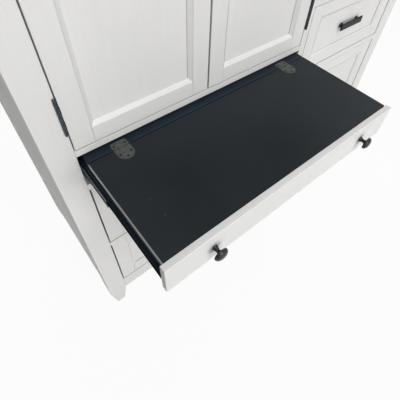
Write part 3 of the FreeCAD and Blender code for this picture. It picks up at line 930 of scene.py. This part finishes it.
@dataclass
class FramedFront:
    """A door frame or a drawer front: stiles, rails, a sloped moulding and, on a drawer, a sunk panel.

    Attributes:
        node: The CAD node that it stands for.
        moulding: The width of the moulding, in metres.
        sunk: How far the panel lies behind the face, in metres.
        has_panel: Whether the panel is part of this node.
        stile: The width of a stile's face.
        rail: The width of a rail's face.
        quirk: The width of the fine groove between the frame and the moulding.
        quirk_drop: The depth of that groove.
        shoulder: How far the moulding's outer edge lies behind the face.
        lip_share: The height of the moulding's inner edge, as a share of the panel's depth.
        lip_gap: How far that edge stands over the panel.
        undercut: How far the moulding is hollowed behind that edge.
        panel_thick: The thickness of the panel.
        tongue: How far the panel reaches under the moulding.
        easing: The width of the easing of the boards' edges.
        joint: The open width of the joint between a rail and a stile.
        crease_deg: Edges of the moulding that turn by more stay sharp.
    """

    node: str
    moulding: float
    sunk: float
    has_panel: bool
    stile: float = 43 * MM
    rail: float = 38 * MM
    quirk: float = 0.8 * MM
    quirk_drop: float = 1.6 * MM
    shoulder: float = 0.3 * MM
    lip_share: float = 0.18
    lip_gap: float = 0.6 * MM
    undercut: float = 1.5 * MM
    panel_thick: float = 6 * MM
    tongue: float = 5 * MM
    easing: float = 0.9 * MM
    joint: float = 0.35 * MM
    crease_deg: float = 15.0

    def build(self) -> None:
        """Makes the front and lets it stand for its node."""
        low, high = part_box(self.node)
        in_left = low.x + self.stile
        in_right = high.x - self.stile
        upright = [self.board("stile", low, Vector((in_left, high.y, high.z))),
                   self.board("stile", Vector((in_right, low.y, low.z)), high)]
        rail_left = in_left + self.joint
        rail_right = in_right - self.joint
        across = [self.board("rail", Vector((rail_left, low.y, foot)), Vector((rail_right, high.y, head)))
                  for foot, head in ((low.z, low.z + self.rail), (high.z - self.rail, high.z))]
        if self.has_panel:
            across.append(self.panel(low, high))
        ring = self.moulding_ring(low, high)
        for piece in across + upright + [ring]:
            piece.data.materials.append(WHITE_PAINT.material(Grain.ACROSS))
            piece.data.materials.append(WHITE_PAINT.material(Grain.UPRIGHT))
        for piece in upright:
            paint_faces(piece, 1, lambda centre, normal: True)
        paint_faces(ring, 1, lambda centre, normal: centre.x < in_left + self.moulding)
        paint_faces(ring, 1, lambda centre, normal: centre.x > in_right - self.moulding)
        front = join(self.node + "_look", across + upright + [ring])
        set_in_place(front, self.node)

    def board(self, name: str, low: Vector, high: Vector) -> Piece:
        """Makes one stile or rail with eased edges."""
        piece = add_block(name, low, high)
        ease(piece, self.easing)
        return piece

    def panel(self, low: Vector, high: Vector) -> Piece:
        """Makes the sunk panel of a drawer front.

        Args:
            low: The front's lowest corner.
            high: The front's highest corner.

        Returns:
            The panel, whose edges lie under the moulding.
        """
        side = self.stile + self.moulding - self.tongue
        end = self.rail + self.moulding - self.tongue
        face = low.y + self.sunk
        return add_block("panel", Vector((low.x + side, face, low.z + end)),
                         Vector((high.x - side, face + self.panel_thick, high.z - end)))

    def moulding_ring(self, low: Vector, high: Vector) -> Piece:
        """Makes the sloped moulding round the panel, with mitred corners.

        The ring starts as a plane that fills the frame, at the bottom of the fine groove. It is inset and
        extruded step by step, hollowed under its lip, opened in the middle, and closed behind by bridging its
        two borders.

        Args:
            low: The front's lowest corner.
            high: The front's highest corner.

        Returns:
            The closed ring.
        """
        middle = (low + high) / 2
        bpy.ops.object.select_all(action="DESELECT")
        groove = Vector((middle.x, low.y + self.quirk_drop, middle.z))
        bpy.ops.mesh.primitive_plane_add(size=1.0, location=groove, rotation=(math.pi / 2, 0, 0))
        ring = bpy.context.object
        ring.name = "moulding"
        width = high.x - low.x - 2 * self.stile
        height = high.z - low.z - 2 * self.rail
        ring.scale = (width, height, 1)
        bpy.ops.object.transform_apply(location=True, rotation=True, scale=True)
        lip = self.lip_share * self.sunk
        drop = self.sunk - self.lip_gap - lip - self.shoulder
        spread = (1 + 2 * self.undercut / (width - 2 * self.moulding), 1,
                  1 + 2 * self.undercut / (height - 2 * self.moulding))
        behind = Vector((middle.x, low.y + self.sunk + self.panel_thick, middle.z))
        with editing(ring):
            bpy.ops.mesh.select_all(action="SELECT")
            bpy.ops.mesh.inset(thickness=self.quirk, depth=0.0)
            extrude((0, self.shoulder - self.quirk_drop, 0))
            bpy.ops.mesh.inset(thickness=self.moulding - self.quirk, depth=0.0)
            bpy.ops.transform.translate(value=(0, drop, 0))
            extrude((0, lip, 0))
            extrude((0, 0, 0))
            bpy.ops.transform.resize(value=spread, center_override=middle)
            bpy.ops.mesh.delete(type="FACE")
            bpy.ops.mesh.select_mode(type="EDGE")
            bpy.ops.mesh.select_non_manifold()
            bpy.ops.mesh.extrude_edges_move()
            bpy.ops.transform.resize(value=(1, 0, 1), center_override=behind)
            bpy.ops.mesh.bridge_edge_loops()
            bpy.ops.mesh.select_all(action="SELECT")
            bpy.ops.mesh.normals_make_consistent(inside=False)
        shade(ring, self.crease_deg)
        return ring


# Drawer and tray boxes


@dataclass
class BoardBox:
    """An open box of boards, for a drawer or for the tray.

    Attributes:
        node: The CAD node that it stands for.
        slot: The record's slot of its finish. It is not used.
        finish: Its finish.
        bottom_lift: How far the bottom lies above the lower edge of the sides.
        bottom: The thickness of the bottom.
        has_front: Whether it has a front board of its own.
        groove: The height and depth of the runner's groove in each side, or None.
        side: The thickness of the sides, front and rear.
        easing: The width of the easing of the edges.
    """

    node: str
    slot: Slot
    finish: GrainedFinish
    bottom_lift: float
    bottom: float
    has_front: bool
    groove: tuple[float, float] | None
    side: float = 12 * MM
    easing: float = 1.0 * MM

    def build(self) -> None:
        """Makes the box and lets it stand for its node."""
        low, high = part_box(self.node)
        in_low = low.x + self.side
        in_high = high.x - self.side
        sides = [add_block("side", low, Vector((in_low, high.y, high.z))),
                 add_block("side", Vector((in_high, low.y, low.z)), high)]
        if self.groove:
            self.cut_grooves(sides, low, high)
        front = low.y + self.side if self.has_front else low.y
        rear = high.y - self.side
        ends = [add_block("rear", Vector((in_low, rear, low.z)), Vector((in_high, high.y, high.z)))]
        if self.has_front:
            ends.append(add_block("front", Vector((in_low, low.y, low.z)), Vector((in_high, front, high.z))))
        floor = low.z + self.bottom_lift
        base = add_block("bottom", Vector((in_low, front, floor)),
                         Vector((in_high, rear, floor + self.bottom)))
        boards = sides + ends + [base]
        for board in boards:
            if board is not base:
                ease(board, self.easing)
            board.data.materials.append(self.finish.material(Grain.DEPTH))
            board.data.materials.append(self.finish.material(Grain.ACROSS))
        for board in ends + [base]:
            paint_faces(board, 1, lambda centre, normal: True)
        set_in_place(join(self.node + "_look", boards), self.node)

    def cut_grooves(self, sides: Sequence[Piece], low: Vector, high: Vector) -> None:
        """Cuts the runners' grooves along the outer faces of the sides.

        Args:
            sides: The left and the right side.
            low: The box's lowest corner.
            high: The box's highest corner.
        """
        tall, deep = self.groove
        middle = (low.z + high.z) / 2
        for board, start, end in zip(sides, (low.x - deep, high.x - deep), (low.x + deep, high.x + deep)):
            cutter = add_block("groove", Vector((start, low.y - deep, middle - tall / 2)),
                               Vector((end, high.y + deep, middle + tall / 2)))
            cut(board, cutter)


# Knobs and pulls


@dataclass
class TurnedKnob:
    """A mushroom knob with a trumpet foot.

    Attributes:
        proud: How far it stands out.
        radius: The radius of its head.
        foot: The radius of its foot.
        collar: The thickness of the foot's rounded collar.
        stem: The radius at its waist.
        waist: How far out the waist is.
        rim: How far out the head's rim is.
        brow: The thickness of the head at its rim.
        dome: The power that flattens the head's dome.
        tip: The radius of the flat at the crown.
        shelf: How far the collar draws in, as a share of its rounding.
        steps: How many steps each curve of the outline has.
        sides: How many sides it is turned with.
    """

    proud: float = 26 * MM
    radius: float = 15.0 * MM
    foot: float = 7.0 * MM
    collar: float = 1.6 * MM
    stem: float = 4.0 * MM
    waist: float = 9.5 * MM
    rim: float = 17.0 * MM
    brow: float = 1.2 * MM
    dome: float = 0.8
    tip: float = 0.3 * MM
    shelf: float = 0.3
    steps: int = 8
    sides: int = 48

    def profile(self) -> list[tuple[float, float]]:
        """Works out the turned outline.

        Returns:
            Pairs of radius and distance out, from the foot to the crown.
        """
        quarter = [math.pi / 2 * index / self.steps for index in range(1, self.steps + 1)]
        round_edge = self.collar / 2
        neck = self.foot - round_edge
        points = [(neck, 0.0), (self.foot, round_edge), (self.foot - self.shelf * round_edge, self.collar)]
        for turn in quarter:
            out = self.collar + (self.waist - self.collar) * math.sin(turn)
            points.append((self.stem + (neck - self.stem) * (1 - math.sin(turn)), out))
        for turn in quarter:
            radius = self.stem + (self.radius - self.stem) * (1 - math.cos(turn))
            points.append((radius, self.waist + (self.rim - self.waist) * math.sin(turn)))
        brow = self.rim + self.brow
        points.append((self.radius, brow))
        for turn in quarter[:-1]:
            radius = self.radius * math.cos(turn) ** self.dome
            points.append((radius, brow + (self.proud - brow) * math.sin(turn)))
        points.append((self.tip, self.proud))
        return points

    def build(self, node: str, places: Sequence[Vector]) -> None:
        """Makes one knob at each place and lets them stand for a node.

        Args:
            node: The CAD node.
            places: The middle of each knob's foot.
        """
        first = turned("knob", places[0], Vector((0, -1, 0)), self.profile(), self.sides)
        knobs = [first] + [copy_to(first, "knob", place - places[0]) for place in places[1:]]
        piece = join(node + "_look", knobs)
        piece.data.materials.append(BLACK_IRON.material())
        set_in_place(piece, node)


@dataclass
class BarPull:
    """A flat bar, chamfered round its front, on two trumpet feet.

    Attributes:
        centres: The distance between the feet.
        length: The length of the bar.
        height: The height of the bar's front.
        plate: The thickness of the bar.
        chamfer: The width of the chamfer round the front.
        foot: The radius of a foot at the panel.
        neck: The radius of a foot at the bar.
        collar: The thickness of a foot's edge at the panel.
        easing: The width of the easing of the bar's edges.
        eased_deg: Edges of the bar that turn by less stay as they are.
        steps: How many steps the curve of a foot has.
        sides: How many sides a foot is turned with.
    """

    centres: float = 78 * MM
    length: float = 108 * MM
    height: float = 20.5 * MM
    plate: float = 4.5 * MM
    chamfer: float = 1.5 * MM
    foot: float = 8.5 * MM
    neck: float = 5.2 * MM
    collar: float = 1.2 * MM
    easing: float = 0.4 * MM
    eased_deg: float = 20.0
    steps: int = 6
    sides: int = 32

    def build(self, node: str) -> None:
        """Makes the pulls of one drawer, up to the panel behind them, and lets them stand for their node.

        Args:
            node: The CAD node of the pull or pulls.
        """
        low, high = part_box(node)
        left = low.x + self.length / 2
        middle = (low.z + high.z) / 2
        first = self.one_pull(Vector((left, low.y, middle)), high.y)
        pulls = [first]
        far = high.x - self.length / 2
        if far - left > self.length:
            pulls.append(copy_to(first, "pull", Vector((far - left, 0, 0))))
        piece = join(node + "_look", pulls)
        piece.data.materials.append(PULL_IRON.material())
        set_in_place(piece, node)

    def one_pull(self, front: Vector, face: float) -> Piece:
        """Makes one pull.

        Args:
            front: The middle of the bar's front.
            face: The Y of the panel that it stands on.

        Returns:
            The pull as one object.
        """
        half = Vector((self.length / 2, 0, self.height / 2))
        back = front.y + self.plate
        rim = front + Vector((0, self.chamfer, 0))
        bar = add_block("bar", rim - half, Vector((front.x + half.x, back, front.z + half.z)))
        with editing(bar):
            pick_faces(bar, lambda centre, normal: normal.y < -ALONG)
            extrude((0, -self.chamfer, 0))
            shrink = Vector((1 - 2 * self.chamfer / self.length, 1, 1 - 2 * self.chamfer / self.height))
            bpy.ops.transform.resize(value=shrink, center_override=front)
        ease(bar, self.easing, angle_deg=self.eased_deg)
        reach = face - back
        profile = [(self.foot, 0.0), (self.foot, self.collar)]
        for index in range(1, self.steps + 1):
            share = index / self.steps
            radius = self.neck + (self.foot - self.neck) * (1 - share) ** 2
            profile.append((radius, self.collar + (reach - self.collar + self.easing) * share))
        pieces = [bar]
        for side in (-1, 1):
            place = Vector((front.x + side * self.centres / 2, face, front.z))
            pieces.append(turned("foot", place, Vector((0, -1, 0)), profile, self.sides))
        return join("pull", pieces)


# Metalwork


@dataclass
class LidHinges:
    """The flush hinges of the lid, with countersunk screws in both leaves.

    Attributes:
        hole: The radius of a screw's head.
        rim: How far the countersink opens round the head.
        sink: How far the head lies under the leaf's face.
        bore: The radius at the bottom of the countersink, as a share of the head's.
        cone: The height of the countersink's cone.
        flare: The height of its wider mouth.
        over: How far the mouth reaches over the leaf's face.
        head: The head's outline, as shares of its radius and heights.
        slot: The half length, as a share of the head's radius, of a slot in the head.
        slot_half: The half width of a slot.
        slot_deep: The depth of a slot.
        sides: How many sides a hole and a head have.
        easing: The width of the easing of the leaves.
        eased_deg: Edges of the leaves that turn by less stay as they are.
        lid_holes: The holes of the lid's leaf, from the hinge's middle and its pin.
        strip_holes: The holes of the strip's leaf, in the same way.
        width: The width of a leaf.
        knuckle: The radius of a knuckle.
    """

    hole: float = 3.2 * MM
    rim: float = 0.4 * MM
    sink: float = 0.5 * MM
    bore: float = 0.6
    cone: float = 1.0 * MM
    flare: float = 0.5 * MM
    over: float = 0.1 * MM
    head: tuple[tuple[float, float], ...] = (
        (0.5, 0.0), (0.96, 0.9 * MM), (0.9, 1.05 * MM), (0.6, 1.12 * MM))
    slot: float = 0.55
    slot_half: float = 0.25 * MM
    slot_deep: float = 0.5 * MM
    sides: int = 24
    easing: float = 0.25 * MM
    eased_deg: float = 60.0
    lid_holes: tuple[tuple[float, float], ...] = (
        (12.2 * MM, -16.5 * MM), (0.0, -27.5 * MM), (-12.2 * MM, -16.5 * MM))
    strip_holes: tuple[tuple[float, float], ...] = ((12.5 * MM, 10.8 * MM), (-12.5 * MM, 10.8 * MM))
    width: float = 37 * MM
    knuckle: float = 1.6 * MM

    def build(self) -> None:
        """Makes both leaves of both hinges, and their screws."""
        low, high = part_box("lid_hinges")
        pin = high.y - self.knuckle
        middles = (low.x + self.width / 2, high.x - self.width / 2)
        for node, holes in (("lid_hinges", self.lid_holes), ("tray_hinges", self.strip_holes)):
            places = [Vector((x + along, pin + deep, high.z)) for x in middles for along, deep in holes]
            self.leaves(node, places, pin)
            self.screws(node, places)

    def leaves(self, node: str, places: Sequence[Vector], pin: float) -> None:
        """Makes the leaves of one node with their countersinks and darker knuckles, whose tone is partly
        oxide and partly painted shade of the gap round the pin.

        Args:
            node: The CAD node of the leaves.
            places: The middle of each hole on the leaves' face.
            pin: The Y of the hinges' pins.
        """
        piece = merged_copy(node)
        mouth = self.hole + self.rim
        deep = self.cone + self.flare
        profile = [(self.hole * self.bore, 0.0), (self.hole, self.cone),
                   (mouth, deep), (mouth, deep + self.cone)]
        start = Vector((0, 0, self.over - deep))
        for place in places:
            cut(piece, turned("countersink", place + start, Vector((0, 0, 1)), profile, self.sides))
        ease(piece, self.easing, steps=1, angle_deg=self.eased_deg)
        piece.data.materials.append(HINGE_BRONZE.material())
        piece.data.materials.append(KNUCKLE_BRONZE.material())
        # The knuckle faces get the darker tone: partly oxide, partly painted shade.
        paint_faces(piece, 1, lambda centre, normal: abs(centre.y - pin) < self.knuckle)
        set_in_place(piece, node)

    def screws(self, node: str, places: Sequence[Vector]) -> None:
        """Makes the screws of one node.

        Args:
            node: The CAD node of the leaves that they hold.
            places: The middle of each hole on the leaves' face.
        """
        profile = [(self.hole * share, height) for share, height in self.head]
        depth = profile[-1][1]
        foot = places[0] - Vector((0, 0, depth + self.sink))
        first = turned("screw", foot, Vector((0, 0, 1)), profile, self.sides)
        top = places[0] - Vector((0, 0, self.sink))
        arm = self.hole * self.slot
        for along, across in ((arm, self.slot_half), (self.slot_half, arm)):
            reach = Vector((along, across, self.slot_deep))
            cut(first, add_block("slot", top - reach, top + reach))
        screws = [first] + [copy_to(first, "screw", place - places[0]) for place in places[1:]]
        piece = join(node.replace("hinges", "screws"), screws)
        piece.data.materials.append(DARK_SCREW.material())
        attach(piece, body_of(node))
        LOG.info("%s made", piece.name)


def dress_cad(materials: dict[str, bpy.types.Material]) -> None:
    """Gives CAD nodes whose shape stays their finish.

    Args:
        materials: The material of each node.
    """
    for node, material in materials.items():
        mesh = frame["nodes"][node].data
        mesh.materials.clear()
        mesh.materials.append(material)
        LOG.info("%s keeps its CAD shape", node)


# Tray


@dataclass
class TraySlides:
    """The members of the tray's slides, with rolled corners. The middle ones have a painted highlight, a
    light steel colour, along their upper rolled corners.

    Attributes:
        corner: The width of a rolled corner.
        slant: The part of a normal, upwards and sideways, above which a rolled corner gets the painted
            highlight.
    """

    corner: float = 0.5 * MM
    slant: float = 0.3

    def build(self) -> None:
        """Makes the members and lets them stand for their nodes."""
        for node in ("tray_slide_outer", "tray_slide_middle", "tray_slide_inner"):
            piece = eased_copy(node, self.corner)
            piece.data.materials.append(BLACK_STEEL.material())
            set_in_place(piece, node)
            if node == "tray_slide_middle":
                # The middle member's upper rolled corners get the painted highlight.
                piece.data.materials.append(PAINTED_HIGHLIGHT_STEEL.material())
                paint_faces(piece, 1, lambda centre, normal: min(normal.z, abs(normal.x)) > self.slant)


@dataclass
class TrayTop:
    """The tray's black lid, with raw ends, and the black strip fixed behind it.

    Attributes:
        easing: The width of the easing of the edges.
    """

    easing: float = 0.8 * MM

    def build(self) -> None:
        """Makes the lid and the strip and lets them stand for their nodes."""
        for node, finish in (("lid_panel", BLACK_PAINT), ("tray_strip", STRIP_PAINT)):
            piece = eased_copy(node, self.easing)
            piece.data.materials.append(finish.material(Grain.ACROSS))
            set_in_place(piece, node)
            if node == "lid_panel":
                self.bare_ends(piece)

    def bare_ends(self, lid: Piece) -> None:
        """Leaves the two ends of the lid unpainted."""
        low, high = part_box("lid_panel")
        lid.data.materials.append(RAW_EDGE.material())
        for end in (low.x, high.x):
            paint_faces(lid, 1, lambda centre, normal: abs(centre.x - end) < self.easing / 2)


# Studio


@dataclass(frozen=True)
class PhotoCamera:
    """The photograph's camera, as fitted to the straight edges of the object.

    Attributes:
        place: Where it stands, in metres.
        turn_deg: How it is turned about X, Y and Z.
        focal_px: Its focal length in the image's pixels.
        axis_px: Where its axis meets the image.
        image_px: The image's width and height.
        sensor_mm: The sensor's width.
        near: How close to it a thing is still seen, in metres.
    """

    place: Place = (-0.6594, -0.5735, 1.325)
    turn_deg: Place = (41.195, -2.346, -39.240)
    focal_px: float = 339.94
    axis_px: tuple[float, float] = (209.61, 156.71)
    image_px: float = 400.0
    sensor_mm: float = 36.0
    near: float = 0.01

    def build(self) -> None:
        """Makes the camera and gives it to the scene."""
        data = bpy.data.cameras.new("photo_camera")
        data.sensor_width = self.sensor_mm
        data.lens = self.sensor_mm * self.focal_px / self.image_px
        data.shift_x = 0.5 - self.axis_px[0] / self.image_px
        data.shift_y = self.axis_px[1] / self.image_px - 0.5
        data.clip_start = self.near
        camera = bpy.data.objects.new("photo_camera", data)
        camera.location = self.place
        camera.rotation_euler = [math.radians(angle) for angle in self.turn_deg]
        bpy.context.scene.collection.objects.link(camera)
        bpy.context.scene.camera = camera


@dataclass(frozen=True)
class SoftLamp:
    """A large square lamp.

    Attributes:
        name: Its name.
        place: Where it hangs, in metres.
        aim: The point that it faces.
        size: Its width.
        watts: Its power.
        colour: The colour of its light.
    """

    name: str
    place: Place
    aim: Place
    size: float
    watts: float
    colour: Colour = (1.0, 1.0, 1.0)

    def build(self) -> None:
        """Hangs the lamp."""
        data = bpy.data.lights.new(self.name, "AREA")
        data.energy = self.watts
        data.size = self.size
        data.color = self.colour
        lamp = bpy.data.objects.new(self.name, data)
        lamp.location = self.place
        way = Vector(self.aim) - Vector(self.place)
        lamp.rotation_euler = way.to_track_quat("-Z", "Y").to_euler()
        bpy.context.scene.collection.objects.link(lamp)


@dataclass
class Studio:
    """A white studio: floor, sky and soft lamps.

    Attributes:
        sky: How strongly the sky lights the object.
        floor_size: The width of the floor, in metres.
        floor_colour: The colour of the floor.
        floor_roughness: How dull the floor is.
        floor_shade: How much of the shadow the camera sees on the floor.
        lamps: The lamps.
    """

    sky: float = 0.08
    floor_size: float = 14.0
    floor_colour: Colour = (0.70, 0.695, 0.675)
    floor_roughness: float = 0.9
    floor_shade: float = 0.06
    lamps: list[SoftLamp] = field(default_factory=lambda: [
        SoftLamp("key_lamp", place=(-0.6, -5.2, 6.0), aim=(0.0, 0.0, 0.7), size=4.0, watts=228.0),
        SoftLamp("fill_lamp", place=(0.0, -6.0, 1.3), aim=(0.0, 0.0, 0.4), size=2.4, watts=146.0,
                 colour=(1.0, 0.98, 0.94)),
        SoftLamp("top_lamp", place=(0.0, -0.9, 4.6), aim=(0.0, -0.3, 0.8), size=2.0, watts=46.0),
        SoftLamp("back_lamp", place=(0.9, 3.4, 2.6), aim=(0.0, 0.4, 0.8), size=2.5, watts=75.0),
    ])

    def build(self) -> None:
        """Lights the scene and lays the floor."""
        self.light_sky()
        self.lay_floor()
        for lamp in self.lamps:
            lamp.build()
        bpy.context.scene.view_settings.view_transform = "Standard"

    def seen_directly(self, wiring: Wiring) -> bpy.types.NodeSocket:
        """Says where a ray comes from the camera, a reflection or a clear body.

        Args:
            wiring: The wiring of the material or the world.

        Returns:
            A value of 1 for such rays and 0 for others.
        """
        path = wiring.add("ShaderNodeLightPath")
        direct = wiring.math("MAXIMUM", path.outputs["Is Camera Ray"], path.outputs["Is Glossy Ray"])
        return wiring.math("MAXIMUM", direct, path.outputs["Is Transmission Ray"])

    def light_sky(self) -> None:
        """Makes a sky that is white to look at and softer as a light."""
        world = bpy.data.worlds.new("studio_sky")
        world.use_nodes = True
        wiring = Wiring(world.node_tree)
        background = world.node_tree.nodes["Background"]
        strength = wiring.span(self.seen_directly(wiring), UNIT, (self.sky, 1.0))
        wiring.feed(background.inputs["Strength"], strength)
        background.inputs["Color"].default_value = opaque((1.0, 1.0, 1.0))
        bpy.context.scene.world = world

    def lay_floor(self) -> None:
        """Lays a pale floor that is nearly white to look at and keeps a soft shadow."""
        bpy.ops.object.select_all(action="DESELECT")
        bpy.ops.mesh.primitive_plane_add(size=self.floor_size)
        floor = bpy.context.object
        floor.name = "studio_floor"
        material = bpy.data.materials.new("studio_floor")
        material.use_nodes = True
        wiring = Wiring(material.node_tree)
        shader = material.node_tree.nodes["Principled BSDF"]
        shader.inputs["Base Color"].default_value = opaque(self.floor_colour)
        shader.inputs["Roughness"].default_value = self.floor_roughness
        white = wiring.add("ShaderNodeEmission", {"Color": opaque((1.0, 1.0, 1.0)), "Strength": 1.0})
        share = wiring.math("MULTIPLY", self.seen_directly(wiring), 1.0 - self.floor_shade)
        mixed = wiring.add("ShaderNodeMixShader", {0: share, 1: shader.outputs[0], 2: white.outputs[0]})
        output = material.node_tree.nodes["Material Output"]
        wiring.feed(output.inputs["Surface"], mixed.outputs[0])
        floor.data.materials.append(material)


# The whole desk


DRAWERS = ("right_1", "right_2", "right_3", "right_4", "right_5", "left_1", "left_2")


def build_case() -> None:
    """Makes the case's boards, the tray's front and the drawers' runners."""
    posts = dict.fromkeys(
        ("post_front_left", "post_front_right", "post_rear_left", "post_rear_right"), Grain.UPRIGHT)
    sides = dict.fromkeys(("side_panel_left", "side_panel_right"), Grain.UPRIGHT)
    boards = dict.fromkeys(("back_panel", "partition_upper", "partition_lower"), Grain.UPRIGHT)
    boards |= dict.fromkeys(
        ("top_board", "top_rail", "bottom_rail", "bottom_board", "waist_deck", "cabinet_floor",
         "cabinet_shelf", "row_rail_left", "drawer_rails_right"), Grain.ACROSS)
    tray_front = {"tray_front": Grain.ACROSS}
    runners = {"drawer_runners": Grain.DEPTH}
    # The outer faces of the posts and sides take the painted shade of the sides' paint.
    Boards(posts, Slot.WHITE, WHITE_PAINT, easing=1.6 * MM, outer=SHADED_SIDE_PAINT).build()
    Boards(sides, Slot.WHITE, WHITE_PAINT, easing=0.9 * MM, outer=SHADED_SIDE_PAINT).build()
    Boards(boards, Slot.WHITE, WHITE_PAINT, easing=0.9 * MM).build()
    Boards(tray_front, Slot.WHITE, WHITE_PAINT, easing=1.7 * MM).build()
    Boards(runners, Slot.DRAWER, DRAWER_WOOD, easing=0.6 * MM).build()


def build_fronts() -> None:
    """Makes the door frames and the drawer fronts."""
    for side in ("left", "right"):
        FramedFront(f"door_{side}_frame", moulding=9.5 * MM, sunk=9.5 * MM, has_panel=False).build()
    for name in DRAWERS:
        FramedFront(f"drawer_{name}_front", moulding=7.5 * MM, sunk=6.0 * MM, has_panel=True,
                    quirk=1.4 * MM, lip_gap=1.2 * MM).build()


def build_boxes() -> None:
    """Makes the drawers' and the tray's boxes."""
    for name in DRAWERS:
        BoardBox(f"drawer_{name}_box", Slot.DRAWER, DRAWER_WOOD, bottom_lift=8 * MM, bottom=5 * MM,
                 has_front=True, groove=(14.6 * MM, 6 * MM)).build()
    BoardBox("tray_box", Slot.BLACK, TRAY_PAINT, bottom_lift=3 * MM, bottom=6 * MM,
             has_front=False, groove=None).build()


def build_hardware() -> None:
    """Makes the knobs, pulls and hinges."""
    knob = TurnedKnob()
    for node in ("door_left_knob", "door_right_knob", "tray_knobs"):
        low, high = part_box(node)
        height = (low.z + high.z) / 2
        places = [Vector((low.x + knob.radius, high.y, height))]
        if high.x - low.x > 3 * knob.radius:
            places.append(Vector((high.x - knob.radius, high.y, height)))
        knob.build(node, places)
    for name in DRAWERS:
        BarPull().build(f"drawer_{name}_pull")
    LidHinges().build()
    iron = HINGE_IRON.material()
    white = WHITE_PAINT.material(Grain.UPRIGHT)
    dress_cad({
        "door_hinges_case": iron, "door_left_hinges": iron, "door_right_hinges": iron,
        "door_left_panel": white, "door_right_panel": white, "door_catches": CATCH_PLASTIC.material()})


def main() -> None:
    """Builds the desk and the studio round the frame."""
    logging.basicConfig(level=logging.INFO, format="%(name)s: %(message)s")
    PhotoCamera().build()
    Studio().build()
    build_case()
    build_fronts()
    build_boxes()
    TrayTop().build()
    TraySlides().build()
    build_hardware()


if __name__ == "__main__":
    main()
